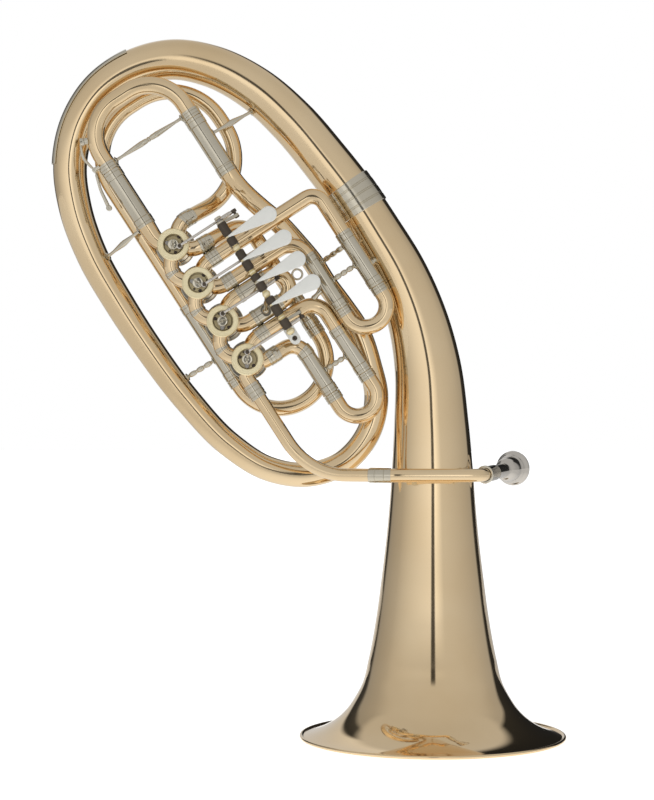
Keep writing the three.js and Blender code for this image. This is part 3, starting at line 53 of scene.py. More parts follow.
# %% [markdown]
# A horn's valve section is laid out on its own slanted lines: the valves stand in a row that leans
# down to the right, and every slide and rod runs along or across that row. Measuring along the
# row, across it and in depth keeps all the numbers short. All sizes are in millimetres.

# %% Places along the valve row
MM = 0.001
BELL_RADIUS = 102.5
BELL_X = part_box("bell")[1][0] / MM - BELL_RADIUS
LEAN = math.radians(57.2)
ALONG = np.array([math.cos(LEAN), 0.0, -math.sin(LEAN)])
ACROSS = np.array([math.sin(LEAN), 0.0, math.cos(LEAN)])
DEPTH = np.array([0.0, 1.0, 0.0])
FIRST_CENTRE = np.array([BELL_X - 196.6, 0.0, 376.2])
PITCH = 34.2
PORT = -26.0


def bank(along, across, depth=PORT):
    """A point of the valve row: its first centre plus steps along, across and in depth."""
    return FIRST_CENTRE + along * ALONG + across * ACROSS + depth * DEPTH


print("valve centres:", [bank(i * PITCH, 0).round(1).tolist() for i in range(4)])

# %% [markdown]
# A route through space is a list of points, here an array with one row for each. Whatever is laid
# along it, such as a band at 40 mm from the start, needs the length up to each point. Blender's
# curves could carry tubes too, but an array gives that length and keeps every point in our hands.

# %% Length along a route


def arc_length(points):
    """Length from the start up to each point: the running sum of the steps."""
    return np.concatenate([[0], np.cumsum(np.linalg.norm(np.diff(points, axis=0), axis=1))])


def along_route(points, lengths, stops):
    """Places on the route at given lengths, each coordinate interpolated by length."""
    return np.stack([np.interp(stops, lengths, points[:, k]) for k in range(3)], axis=1)


def spaced(points, gap=4.0):
    """The same route with no two points alike and none further apart than the gap."""
    lengths = arc_length(points)
    keep = np.concatenate([[True], np.diff(lengths) > 1e-4])
    points, lengths = points[keep], lengths[keep]
    fill = np.arange(gap, lengths[-1], gap)
    stops = np.union1d(lengths, fill)
    stops = stops[np.concatenate([[True], np.diff(stops) > 0.2])]
    stops[-1] = lengths[-1]
    return along_route(points, lengths, stops)


print("a straight route of 10 mm has points at:", spaced(np.array([[0, 0, 0], [10, 0, 0]]))[:, 0])

# %% [markdown]
# Horn tubes are straight lengths joined by bends of constant radius, because they are bent round
# round formers. A route is therefore given as corners with a bend radius at each. A Bezier curve
# would be quicker to draw, but its bends are no true arcs, and mirror-bright metal shows that.

# %% Routes with rounded corners


def unit(vectors):
    """Vectors over their own length: v / |v|, row by row."""
    return vectors / np.linalg.norm(vectors, axis=-1, keepdims=True)


def bent(corners, radii, step=math.radians(5)):
    """A polyline whose corners are arcs, each arc's centre on the bisector of its corner."""
    corners = [np.asarray(corner, float) for corner in corners]
    points = [corners[0][None]]
    for before, corner, after, radius in zip(corners, corners[1:], corners[2:], radii):
        back, onward = unit(before - corner), unit(after - corner)
        turn = math.pi - math.acos(np.clip(back @ onward, -1, 1))
        centre = corner + unit(back + onward) * radius / math.cos(turn / 2)
        start = corner + back * radius * math.tan(turn / 2) - centre
        side = -back * radius
        angle = np.linspace(0, turn, max(3, int(math.ceil(turn / step)) + 1))[:, None]
        points.append(centre + np.cos(angle) * start + np.sin(angle) * side)
    points.append(corners[-1][None])
    return spaced(np.concatenate(points))


print("a quarter bend has points:", len(bent([(0, 0, 0), (20, 0, 0), (20, 20, 0)], [10])))

# %% [markdown]
# Two more curves are needed. Some tubes ease to another depth on their way, so that they pass
# behind a neighbour. And the widths of the big tube were measured at a few places only, so a smooth
# curve has to run through them: straight steps between them would show as rings in the reflections.

# %% Depth that eases and radii that flow


def eased(points, start, span, low, high):
    """The route with its depth easing from low to high by 3t² - 2t³ over the span."""
    share = np.clip((arc_length(points) - start) / span, 0, 1)
    depth = low + (high - low) * share**2 * (3 - 2 * share)
    return np.stack([points[:, 0], depth, points[:, 2]], axis=1)


def smooth(xs, ys, x):
    """Cubic Hermite curve through (xs, ys), its slope at each point that of its neighbours."""
    xs, ys, x = (np.asarray(values, float) for values in (xs, ys, x))
    slopes = np.gradient(ys, xs)
    i = np.clip(np.searchsorted(xs, x) - 1, 0, len(xs) - 2)
    h = xs[i + 1] - xs[i]
    t = np.clip((x - xs[i]) / h, 0, 1)
    a, b = 2 * t**3 - 3 * t**2 + 1, t**3 - 2 * t**2 + t
    c, d = -2 * t**3 + 3 * t**2, t**3 - t**2
    return a * ys[i] + b * h * slopes[i] + c * ys[i + 1] + d * h * slopes[i + 1]


print("halfway between 0 and 1 the curve gives:", smooth([0, 1], [0, 1], [0.5]))

# %% [markdown]
# Every surface of this horn ends up as a grid of points, ring after ring, and a mesh is that grid
# with a face between each four neighbours. Doing it once, for whole arrays, keeps all pieces alike.
# Afterwards the faces are turned outwards and shaded smooth, with sharp edges where metal is turned
# to an edge.

# %% From a grid of points to a mesh


def skin(name, rings, materials, finish=None, wrap=True, crease=32):
    """Quads between neighbouring rings of one grid; a grid that doesn't wrap is capped."""
    count, sides = rings.shape[:2]
    ring = np.arange(count if wrap else count - 1)
    a = ring[:, None] * sides + np.arange(sides)
    b = ring[:, None] * sides + (np.arange(sides) + 1) % sides
    onward = ((ring + 1) % count - ring)[:, None] * sides
    quads = np.stack([a, b, b + onward, a + onward], axis=-1).reshape(-1, 4).tolist()
    tones = np.zeros(len(ring), int) if finish is None else np.asarray(finish)[: len(ring)]
    tones = np.repeat(tones, sides).tolist()
    if not wrap:
        quads += [list(range(sides))[::-1], list(range((count - 1) * sides, count * sides))]
        tones += [tones[0], tones[-1]]
    mesh = bpy.data.meshes.new(name)
    mesh.from_pydata((rings.reshape(-1, 3) * MM).tolist(), [], quads)
    for material in materials:
        mesh.materials.append(material)
    mesh.polygons.foreach_set("material_index", tones)
    return finished(name, mesh, crease)


def finished(name, mesh, crease=32):
    """Faces turned outwards, smooth shading with sharp edges where faces meet at an angle."""
    work = bmesh.new()
    work.from_mesh(mesh)
    bmesh.ops.recalc_face_normals(work, faces=work.faces)
    work.to_mesh(mesh)
    work.free()
    mesh.shade_smooth()
    mesh.set_sharp_from_angle(angle=math.radians(crease))
    piece = bpy.data.objects.new(name, mesh)
    bpy.context.collection.objects.link(piece)
    return piece


print("mesh helpers ready")

# %% [markdown]
# Every tube, collar and ferrule here is the same surface: a circle carried along a route while its
# radius changes. The profile is a closed loop of lengths and radii, out along the wall and back
# along the bore, so the wall has its real thickness and the ends are closed. A Solidify modifier
# could give the wall too, but not the steps and lines that a horn's tubes have outside only.

# %% Surfaces carried along a route
SIDES = 40


def swept_rings(points, rows, sides=SIDES):
    """Circles in the planes square to the route: point + r (cos a n + sin a b) for each row."""
    lengths = arc_length(points)
    tangents = np.gradient(points, lengths, axis=0)
    rows = np.asarray(rows, float)
    centre = along_route(points, lengths, rows[:, 0])
    tangent = unit(along_route(tangents, lengths, rows[:, 0]))
    normal = unit(DEPTH - tangent * (tangent @ DEPTH)[:, None])
    binormal = np.cross(tangent, normal)
    angle = np.linspace(0, 2 * math.pi, sides, endpoint=False)[None, :, None]
    spoke = np.cos(angle) * normal[:, None] + np.sin(angle) * binormal[:, None]
    return centre[:, None] + spoke * rows[:, 1][:, None, None]


def with_stops(points, rows):
    """The profile rows with one more wherever the route has a point between them."""
    stops = arc_length(points)
    out = []
    for (start, r0, tone), (end, r1, _) in zip(rows, rows[1:]):
        out.append((start, r0, tone))
        inside = stops[(stops > min(start, end) + 0.05) & (stops < max(start, end) - 0.05)]
        if end < start:
            inside = inside[::-1]
        if abs(end - start) > 0.1:
            share = (inside - start) / (end - start)
            out += [(s, r0 + (r1 - r0) * k, tone) for s, k in zip(inside, share)]
    out.append(rows[-1])
    return out


def tube(name, points, outer, bore, materials, sides=SIDES):
    """A hollow tube: the outer rows out, the bore rows back, closed on itself."""
    rows = with_stops(points, outer) + with_stops(points, bore[::-1])
    rings = swept_rings(points, [(s, r) for s, r, _ in rows], sides)
    return skin(name, rings, materials, [tone for _, _, tone in rows])


print("sides of a tube:", SIDES)

# %% [markdown]
# Turned pieces, such as screws, posts, caps and the mouthpiece, are the same surface on a straight
# axis. Their outline is given as lengths along the axis and radii, as a turner would read it.

# %% Turned pieces
SMALLEST = 0.02


def turned(name, start, towards, outline, materials, sides=32, wrap=False, crease=32):
    """Circles round a straight axis, one for each (length, radius) or (length, radius, finish).

    A radius of 0 closes an end: it is drawn as the smallest circle that still has a face.
    """
    start, towards = np.asarray(start, float), np.asarray(towards, float)
    axis = unit(towards - start)
    ref = DEPTH if abs(axis @ DEPTH) < 0.9 else np.array([1.0, 0, 0])
    normal = unit(ref - axis * (axis @ ref))
    binormal = np.cross(axis, normal)
    rows = np.array([row[:2] for row in outline], float)
    tones = [row[2] if len(row) > 2 else 0 for row in outline]
    angle = np.linspace(0, 2 * math.pi, sides, endpoint=False)[None, :, None]
    spoke = np.cos(angle) * normal + np.sin(angle) * binormal
    lengths, radii = rows[:, 0], np.maximum(rows[:, 1], SMALLEST)
    rings = start + lengths[:, None, None] * axis + spoke * radii[:, None, None]
    return skin(name, rings, materials, tones, wrap=wrap, crease=crease)


print("the smallest ring that closes an end, in mm:", SMALLEST)

# %% [markdown]
# Most turned parts look the same from both ends, so half an outline is enough to write down. And
# nearly all have their edges broken by a small bevel, which is what catches the light.

# %% Outlines that repeat


def mirrored(half, length, middle=()):
    """An outline that reads the same from both ends, with its middle part between them."""
    return [*half, *middle, *((length - s, r) for s, r in half[::-1])]


def bevelled(length, radius, edge=0.3, drop=None, bore=None):
    """Outline of a ring, disc or pin: its bore, if any, and edges broken by a bevel."""
    half = [(0, radius - (edge if drop is None else drop)), (edge, radius)]
    return mirrored(half if bore is None else [(0, bore)] + half, length)


print("a pin of 10 mm has this outline:", bevelled(10, 1, bore=0))

# %% [markdown]
# A rotor or a lever is one piece to the hand but has many turned parts. They are made one by one
# and then put into one mesh, each with its own metal, because that mesh stands for one solid of
# the frame. Joining them with Blender's Join operator would need a selection; this needs none.

# %% Several parts in one piece


def merged(name, pieces):
    """Several surfaces as one object: their grids side by side, each with its own materials."""
    meshes = [piece.data for piece in pieces]
    materials = list(dict.fromkeys(material for mesh in meshes for material in mesh.materials))
    work = bmesh.new()
    for mesh in meshes:
        tones = np.empty(len(mesh.polygons), np.int32)
        mesh.polygons.foreach_get("material_index", tones)
        slots = np.array([materials.index(material) for material in mesh.materials], np.int32)
        mesh.polygons.foreach_set("material_index", slots[tones])
        work.from_mesh(mesh)
    for piece in pieces:
        bpy.data.objects.remove(piece)
    whole = bpy.data.meshes.new(name)
    work.to_mesh(whole)
    work.free()
    for material in materials:
        whole.materials.append(material)
    return finished(name, whole)


print("turning helpers ready")

# %% [markdown]
# Materials, the room and the table are all made of shader nodes. Two helpers keep that short: one
# makes a node, the other gives its inputs their numbers or links them to the node that feeds them.

# %% Making shader nodes


def feed(tree, node, inputs):
    """Give each named input its number, or link it to the socket that feeds it."""
    for key, value in dict(inputs).items():
        if isinstance(value, bpy.types.NodeSocket):
            tree.links.new(value, node.inputs[key])
        else:
            node.inputs[key].default_value = value


def add_node(tree, kind, inputs=(), **settings):
    """One shader node with its settings made and its inputs fed."""
    node = tree.nodes.new("ShaderNode" + kind)
    for key, value in settings.items():
        setattr(node, key, value)
    feed(tree, node, inputs)
    return node


print("node helpers ready")

# %% [markdown]
# The horn's metals are polished and lacquered, so what one sees is mostly the room. What makes them
# read as real metal is small: the colour drifts a little where lacquer is thicker, handling leaves
# faint dull patches, and polishing leaves fine lines. One node group makes these three masks, and
# each metal uses them in its own strength.

# %% Handling marks, one group for every metal


def handling_group():
    """Colour drift, dull patches and polishing lines from one noise at three scales."""
    group = bpy.data.node_groups.new("handling_marks", "ShaderNodeTree")
    for way, kind, names in (("INPUT", "Float", ("Scale", "Polish", "Dull")),
                             ("INPUT", "Color", ("Clean", "Toned")),
                             ("OUTPUT", "Color", ("Color",)),
                             ("OUTPUT", "Float", ("Roughness", "Height"))):
        for name in names:
            group.interface.new_socket(name, in_out=way, socket_type="NodeSocket" + kind)
    inward = group.nodes.new("NodeGroupInput").outputs
    outward = group.nodes.new("NodeGroupOutput")
    place = add_node(group, "TexCoord").outputs["Object"]

    def noise(scale, detail):
        factor = add_node(group, "Math", {0: inward["Scale"], 1: scale}, operation="MULTIPLY")
        inputs = {"Scale": factor.outputs[0], "Detail": detail, "Vector": place}
        return add_node(group, "TexNoise", inputs).outputs["Fac"]

    def share(value, low, high):
        inputs = {"Value": value, "From Min": low, "From Max": high}
        return add_node(group, "MapRange", inputs).outputs[0]

    drift, smudge = share(noise(14, 3), 0.35, 0.7), share(noise(90, 5), 0.45, 0.75)
    colour = add_node(group, "Mix", data_type="RGBA")
    feed(group, colour, {"Factor": drift, "A": inward["Clean"], "B": inward["Toned"]})
    dull = {0: smudge, 1: inward["Dull"], 2: inward["Polish"]}
    feed(group, outward, {
        "Color": colour.outputs["Result"], "Height": noise(900, 2),
        "Roughness": add_node(group, "Math", dull, operation="MULTIPLY_ADD").outputs[0]})
    return group


HANDLING = handling_group()
print("sockets of the group:", [item.name for item in HANDLING.interface.items_tree])

# %% [markdown]
# The tubes and the bell are gold brass under clear lacquer, which the coat stands for. Sleeves,
# bands, braces and rotors are nickel silver, greyer and a touch less bright. The caps and touches
# are brushed, so they stay pale whatever they mirror. The spring drums are nearly black.

# %% The metals


def metal(name, clean, toned, polish, dull, bump=0.02, scale=1.0, coat=0.0, metallic=1.0):
    """A polished metal: colours from clean to toned, roughness from polish to polish + dull."""
    material = bpy.data.materials.new(name)
    material.use_nodes = True
    tree = material.node_tree
    marks = add_node(tree, "Group", {
        "Scale": scale, "Clean": (*clean, 1), "Toned": (*toned, 1), "Polish": polish, "Dull": dull,
    }, node_tree=HANDLING).outputs
    bumps = {"Strength": bump, "Distance": 0.0002, "Height": marks["Height"]}
    relief = add_node(tree, "Bump", bumps)
    feed(tree, tree.nodes["Principled BSDF"], {
        "Metallic": metallic, "Coat Weight": coat, "Coat Roughness": 0.04,
        "Base Color": marks["Color"], "Roughness": marks["Roughness"],
        "Normal": relief.outputs["Normal"]})
    return material


gold_brass = metal("lacquered_gold_brass", (0.87, 0.68, 0.43), (0.82, 0.62, 0.37), 0.06, 0.04,
                   coat=0.2)
nickel = metal("polished_nickel_silver", (0.67, 0.62, 0.51), (0.60, 0.55, 0.44), 0.1, 0.07)
cap_brass = metal("satin_cap_brass", (1.0, 0.89, 0.60), (0.95, 0.83, 0.53), 0.4, 0.08, 0.1, 3)
plate = metal("satin_touch_plate", (1.0, 1.0, 0.95), (0.96, 0.96, 0.91), 0.5, 0.04, 0.1, 3)
silver = metal("silver_plate", (0.74, 0.70, 0.65), (0.60, 0.56, 0.50), 0.08, 0.06)
gunmetal = metal("dark_spring_drum", (0.13, 0.105, 0.08), (0.09, 0.075, 0.06), 0.3, 0.12)
steel = metal("screw_steel", (0.40, 0.38, 0.35), (0.30, 0.28, 0.26), 0.28, 0.12)
# The bearing plate's brass is darkened all over: painted shade for the recess behind the cap's
# window.
shaded_bearing_brass = metal("bearing_plate_brass_painted_shade", (0.50, 0.42, 0.25), (0.36, 0.29, 0.16), 0.34, 0.14)
cork = metal("stop_cork", (0.05, 0.035, 0.03), (0.08, 0.05, 0.04), 0.7, 0.1, metallic=0.0)
print("finishes:", [material.name for material in bpy.data.materials])

# %% [markdown]
# The big tube is one oval that grows all the way. Its centre line was read off the horn at
# twenty-seven places, each with the tube's radius there. A curve through the places gives the
# route, and the same kind of curve through the radii keeps the reflections unbroken.

# %% The oval's route and radius
REACH, RISE, STEM = 279.0, 521.6, 31.6
OVAL = np.array([
    (0, 0.3835, 1), (0.003, 0.461, 0.908), (0.013, 0.546, 0.81), (0.04, 0.6135, 0.737),
    (0.093, 0.686, 0.677), (0.156, 0.744, 0.642), (0.2154, 0.794, 0.617), (0.296, 0.851, 0.598),
    (0.387, 0.9085, 0.579), (0.491, 0.9575, 0.547), (0.609, 0.99, 0.513), (0.717, 1, 0.487),
    (0.824, 0.987, 0.465), (0.914, 0.955, 0.446), (0.973, 0.908, 0.427), (1, 0.844, 0.411),
    (0.986, 0.782, 0.402), (0.939, 0.711, 0.383), (0.864, 0.64, 0.369), (0.7885, 0.578, 0.351),
    (0.674, 0.496, 0.332), (0.559, 0.4315, 0.317), (0.452, 0.396, 0.304), (0.344, 0.3875, 0.301),
    (0.2455, 0.4055, 0.301), (0.179, 0.447, 0.298), (0.155, 0.502, 0.293),
])
MAIN_LEFT, MAIN_RIGHT = -9.6, 64.2
MAIN_TOP, MAIN_BOTTOM = -73.5, -24
INNER = [
    (157, 75.8, 0), (126.3, 83.3, 0), (106.7, 83, 0), (84.7, 81.8, 0), (65.5, 81.9, -2),
    (46.1, 79.5, -5.5), (28.8, 76.5, -9.8), (10, 70.7, -14.5), (-2, 67.2, -19), (-13, 64.9, -23.8),
    (MAIN_BOTTOM + 0.2, MAIN_RIGHT, PORT), (MAIN_BOTTOM - 3, MAIN_RIGHT, PORT),
]
oval_places = np.stack([BELL_X - OVAL[:, 0] * REACH, 0 * OVAL[:, 0], OVAL[:, 1] * RISE], axis=1)
oval_places = np.concatenate([oval_places, [bank(*place) for place in INNER]])
chord = arc_length(oval_places)
fine = np.union1d(chord, np.linspace(0, chord[-1], 620))
oval_route = np.stack([smooth(chord, oval_places[:, k], fine) for k in range(3)], axis=1)
oval_length = arc_length(oval_route)
OVAL_AT = np.interp(chord, fine, oval_length)
print("places on the oval and the inner branch:", len(OVAL_AT))

# %% [markdown]
# The oval is made in lengths that meet at joints, each at one of the measured places. Past the last
# place of the big tube the radius narrows evenly down to the main slide's sleeve.

# %% Joints and radii of the oval
BELL_JOINT, BOW_JOINT, BOTTOM_JOINT, SLEEVE_JOINT = 6, 19, 26, 37
BOTTOM_RADIUS, SLEEVE_RADIUS = 9.26, 7.3
inner_share = np.interp(OVAL_AT[len(OVAL):], OVAL_AT[[BOTTOM_JOINT, SLEEVE_JOINT]], [0, 1])
inner_radii = BOTTOM_RADIUS + (SLEEVE_RADIUS - BOTTOM_RADIUS) * inner_share
OVAL_RADII = np.concatenate([OVAL[:, 2] * STEM, inner_radii])
print("oval length in mm:", round(float(OVAL_AT[BOTTOM_JOINT])))

# %% [markdown]
# Nickel silver bands sit where tubes meet: a short outer ring with bevelled edges and a few lines
# rolled into it. Sleeves are the same band, only longer. Bands are listed by where they start and
# end along the tube, and the tube's own radius shows between them.

# %% Bands and tube outlines
BRASS, NICKEL = 0, 1
TUBE_MATERIALS = [gold_brass, nickel]
LINES, END_LINES, MIDDLE_LINE = (0.2, 0.5, 0.8), (0.3, 0.7), (0.5,)
TUBE, BORE = 5.95, 5.42
FERRULE, SLEEVE, COLLAR_RISE = 6.42, 6.3, 0.35


def dressed(total, bands, base, depth=0.22, reach=0.3, near_end=0.3):
    """Outside rows: the base radius between bands, each band raised, bevelled and lined."""
    def plain(length, tone):
        return length, float(np.interp(length, *zip(*base))), tone

    rows = [plain(0, BRASS)]
    for start, end, radius, tone, lines in bands:
        rows = rows + [plain(start, tone)] if start > near_end else []
        rows += [(start + 0.02, radius - 0.2, tone), (start + 0.24, radius, tone)]
        for share in lines:
            middle = start + share * (end - start)
            rows += [(middle - reach, radius, tone), (middle - 0.1, radius - depth, tone)]
            rows += [(middle + 0.1, radius - depth, tone), (middle + reach, radius, tone)]
        rows += [(end - 0.24, radius, tone), (end - 0.02, radius - 0.2, tone)]
        if end < total - near_end:
            rows.append(plain(end, BRASS))
    if bands[-1][1] < total - near_end:
        rows.append(plain(total, BRASS))
    return rows


print("radii of tube, bore, ferrule and sleeve:", TUBE, BORE, FERRULE, SLEEVE)

# %% [markdown]
# Each finished piece is settled on the body of the frame that it rides on, and the plain solid that
# it stands in for is hidden. A banded tube of the fixed part is the most common piece, so it has a
# helper that makes it and settles it at once.

# %% Settling a piece on its body


def settled(piece, body):
    """The piece rides on a body; the node that it is named after, which it stands for, is hidden."""
    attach(piece, body)
    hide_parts(piece.name.removeprefix("v_"))
    return piece


def fitted(name, points, bands, base, bore):
    """A banded tube of the horn's fixed part."""
    total = float(arc_length(points)[-1])
    rows = dressed(total, bands, base)
    piece = tube("v_" + name, points, rows, [(0, bore, 0), (total, bore, 0)], TUBE_MATERIALS)
    return settled(piece, "horn")


print("finishes of a banded tube:", [material.name for material in TUBE_MATERIALS])

# %% [markdown]
# The bell was spun from sheet over a form, and its edge rolled over a wire. The outline runs from
# the wire up the flare and on round the first part of the bend. The inside follows at the
# thickness of the sheet, measured square to the surface, so the wall is real seen from below.

# %% The bell's outline
FLARE = np.array([
    (1.75, 99.3), (3.3, 93.4), (6, 86.3), (10, 79.0), (16, 71.1), (22.4, 65.1), (30, 60.0),
    (41, 54.1), (60, 49.2), (90, 43.6), (120, 39.5), (156, 35.2), (185, 32.6),
])
STEM_TOP, SHEET = 200.0, 0.9
neck = np.stack([OVAL_AT[:7] + STEM_TOP, OVAL_RADII[:7]], axis=1)
outline_places = np.concatenate([FLARE, neck])
outline_chord = arc_length(np.column_stack([outline_places, 0 * outline_places[:, 0]]))
fine_chord = np.linspace(0, outline_chord[-1], 300)
columns = [smooth(outline_chord, column, fine_chord) for column in outline_places.T]
outline = np.stack(columns, axis=1)
slope = np.gradient(outline, axis=0)
square = unit(np.stack([-slope[:, 1], slope[:, 0]], axis=1))
lining = (outline - SHEET * square)[::-1]
print("rows of the bell outline:", len(outline))

# %% [markdown]
# The edge is rolled over a wire, so it is a round bead a little thicker than the sheet. The bell is
# then the outline carried round its upright axis and on along the first part of the bend.

# %% The rolled edge and the bell
WIRE = 1.38
roll = np.radians(np.linspace(-145, 145, 25))
bead = np.stack([1.4 + WIRE * np.sin(roll), 101.1 + WIRE * np.cos(roll)], axis=1)
bell_rows = np.concatenate([bead, outline, lining])
upright = np.array([[BELL_X, 0, z] for z in np.arange(0, STEM_TOP, 4.0)])
bell_route = np.concatenate([upright, oval_route[oval_length <= OVAL_AT[6] + 12]])
bell = skin("v_bell", swept_rings(bell_route, bell_rows, 128), [gold_brass])
settled(bell, "horn")
print("bell faces:", len(bell.data.polygons))

# %% [markdown]
# The top bow, the tube down the left side and the bottom bow are one growing tube made in lengths.
# The outside of the top bow, where the horn is set down, wears a thin guard.

# %% The oval's other lengths
WALL, JOINT_GAP = 0.6, 0.02


def oval_piece(name, start, end, spigot=None):
    """A length of the oval with its wall. A spigot is a narrow end that plugs into a sleeve."""
    stops = np.linspace(start, end, 120)
    rows = [(s, r, BRASS) for s, r in zip(stops, smooth(OVAL_AT, OVAL_RADII, stops))]
    if spigot:
        rows += [(end, spigot, BRASS), (end + 2.5, spigot, BRASS)]
    inner = [(s, r - WALL, BRASS) for s, r, _ in rows]
    piece = tube("v_" + name, oval_route, rows, inner, TUBE_MATERIALS, 64)
    return settled(piece, "horn")


oval_piece("outer_branch", OVAL_AT[BELL_JOINT] + 0.15, OVAL_AT[BOW_JOINT] - JOINT_GAP)
oval_piece("bottom_bow", OVAL_AT[BOW_JOINT] + JOINT_GAP, OVAL_AT[BOTTOM_JOINT] - JOINT_GAP)
print("joints of the oval at:", OVAL_AT[[BELL_JOINT, BOW_JOINT, BOTTOM_JOINT]].round())

# %% [markdown]
# The ferrule covers the joint between bell and top bow. It tapers with the tube, and three pairs of
# fine lines are rolled into it. It is worked out from the tube's own radius, so that it fits the
# taper exactly.

# %% The ferrule of the bell


def oval_band(name, middle, half, wall, lines):
    """A tapered band round the oval: bevelled ends, fine lines rolled in at the given places."""
    stops, rises = [-half, -half + 0.4], [wall - 0.4, wall]
    for line in lines:
        stops += [line - 0.35, line - 0.12, line + 0.12, line + 0.35]
        rises += [wall, wall - 0.25, wall - 0.25, wall]
    places = middle + np.array(stops + [half - 0.4, half])
    radii = smooth(OVAL_AT, OVAL_RADII, places)
    rows = [(s, r, 0) for s, r in zip(places, radii + np.array(rises + [wall, wall - 0.4]))]
    inner = [(s, r, 0) for s, r in zip(places, radii + 0.05)]
    return tube("v_" + name, oval_route, rows, inner, [nickel], 72)


ferrule_lines = (-7.6, -6.4, -0.6, 0.6, 6.4, 7.6)
ferrule = oval_band("bell_ferrule", OVAL_AT[BELL_JOINT], 12.5, 1.3, ferrule_lines)
settled(ferrule, "horn")
print("ferrule faces:", len(ferrule.data.polygons))

# %% [markdown]
# The guard is a thin strip of nickel silver on the outside of the top bow. It is no full ring, so
# it is its own surface: an arc either way of outward at each place, with its edges rolled over.

# %% The guard of the top bow


def guard_strip(name, start, end, half_angle):
    """A strip on the outside of the bow: an arc either way of outward, its edges rolled over."""
    stops = np.linspace(start, end, 70)
    centre = along_route(oval_route, oval_length, stops)
    tangents = np.gradient(oval_route, oval_length, axis=0)
    tangent = unit(along_route(tangents, oval_length, stops))
    outward = np.cross(DEPTH, tangent)
    outward *= np.sign(outward[:, 2] - outward[:, 0])[:, None]
    turn = np.radians(np.linspace(-half_angle, half_angle, 25))
    edge = np.clip((half_angle - np.abs(np.degrees(turn))) / 5, 0, 1)
    rise = np.concatenate([0.75 + 0.45 * np.sin(edge * math.pi / 2), np.full(25, 0.3)])
    turn = np.concatenate([turn, turn[::-1]])
    radius = smooth(OVAL_AT, OVAL_RADII, stops)[:, None] + rise
    spoke = np.cos(turn)[None, :, None] * outward[:, None] + np.sin(turn)[None, :, None] * DEPTH
    return skin(name, centre[:, None] + radius[..., None] * spoke, [nickel], wrap=False)


guard = guard_strip("v_bow_guard", OVAL_AT[12], OVAL_AT[15], 40)
settled(guard, "horn")
print("guard faces:", len(guard.data.polygons))

# %% [markdown]
# From the bottom bow the tube climbs behind the valves, easing forward as it goes until it meets
# the right leg of the main tuning slide.

# %% The inner branch
oval_piece("inner_branch", OVAL_AT[BOTTOM_JOINT] + JOINT_GAP, OVAL_AT[SLEEVE_JOINT], spigot=6.7)
print("inner branch length in mm:", round(float(OVAL_AT[SLEEVE_JOINT] - OVAL_AT[BOTTOM_JOINT])))

# %% [markdown]
# Tubes leave each rotary valve on its diagonals and turn at once onto their own line. Each tube
# here is worked out from the valve's centre and then kept only outside the rotor's chamber.

# %% Routes from the valves
CHAMBER = 10.9
DIAGONAL = 2.83


def port(valve, along, across):
    """The start of a port's route: on the valve's diagonal, inside the casing."""
    return bank(valve * PITCH + along * DIAGONAL, across * DIAGONAL)


def thinned(route, step=2.2):
    """Fewer points on a finely stepped route, evenly spaced by length."""
    lengths = arc_length(route)
    count = max(6, int(lengths[-1] / step))
    return along_route(route, lengths, np.linspace(0, lengths[-1], count))


def outside(route, *valves):
    """The part of a route that lies outside the chambers of the given valves."""
    for valve in valves:
        fine_route = spaced(route, 0.25)
        gap = fine_route - bank(valve * PITCH, 0)
        away = np.hypot(gap @ ALONG, gap @ ACROSS)
        route = fine_route[away > CHAMBER]
    return thinned(route)


print("tubes start this far from a valve's centre, in mm:", CHAMBER)

# %% [markdown]
# Every valve tube wears the same trim: a nickel silver ferrule after its elbow, where it was
# soldered, and a sleeve at its end, where the slide plugs in. Only the lengths differ.

# %% Trim of a valve tube


def sleeve_bands(start, end, collar, radius, lines=(0.35,)):
    """A sleeve: a plain length between two collars, each with a rolled line."""
    return [(start, start + collar, radius + COLLAR_RISE, NICKEL, lines),
            (start + collar, end - collar, radius, NICKEL, ()),
            (end - collar, end, radius + COLLAR_RISE, NICKEL, (0.65,))]


def valve_tube(name, route, sleeve, valve, collar=6.5, first=(8, 18)):
    """A valve's tube: the ferrule after its elbow, if any, and the sleeve at its end."""
    route = outside(route, valve)
    total = float(arc_length(route)[-1])
    bands = [(*first, FERRULE, NICKEL, LINES)] if first else []
    bands += sleeve_bands(total - sleeve, total, collar, SLEEVE)
    return fitted(name, route, bands, [(0, TUBE), (total, TUBE)], BORE)


print("bands of a sleeve:", len(sleeve_bands(0, 20, 6.5, SLEEVE)))

# %% [markdown]
# The slides' legs lie in pairs. Where each pair stands across the row, how deep it lies and where
# its sleeves end is written down once, because tubes, slides and braces all use it. The fourth
# valve's tubes come first. The upper one makes the big loop above the valves, and both ease back
# in depth to pass behind their neighbours.

# %% Tubes of the fourth valve
LEGS = {1: (69.4, 39.4), 3: (112.6, 80.9), 4: (-17, 55.2)}
LEG_DEPTH = {1: -20, 3: PORT, 4: -6}
MOUTH = {1: 158, 3: 108, 4: 108}
PORT_OFFSET = 10.75
LOOP_LEFT, LOOP_TOP, LOOP_BEND = -110.5, 81.5, 45
corners = [port(0, -1, 1), bank(-12.5, 12.5), bank(-12.5, LOOP_TOP), bank(LOOP_LEFT, LOOP_TOP),
           bank(LOOP_LEFT, LEGS[4][0]), bank(MOUTH[4], LEGS[4][0])]
route = eased(bent(corners, [15, LOOP_BEND, LOOP_BEND, LOOP_BEND]), 13, 38, PORT, LEG_DEPTH[4])
valve_tube("fourth_upper_branch", route, 67, 0)
corners = [port(0, 1, 1), bank(PORT_OFFSET, PORT_OFFSET), bank(PORT_OFFSET, LEGS[4][1]),
           bank(MOUTH[4], LEGS[4][1])]
route = eased(bent(corners, [15, 14]), 13, 38, PORT, LEG_DEPTH[4])
valve_tube("fourth_lower_branch", route, 27, 0)
print("length of the last route in mm:", round(float(arc_length(route)[-1])))

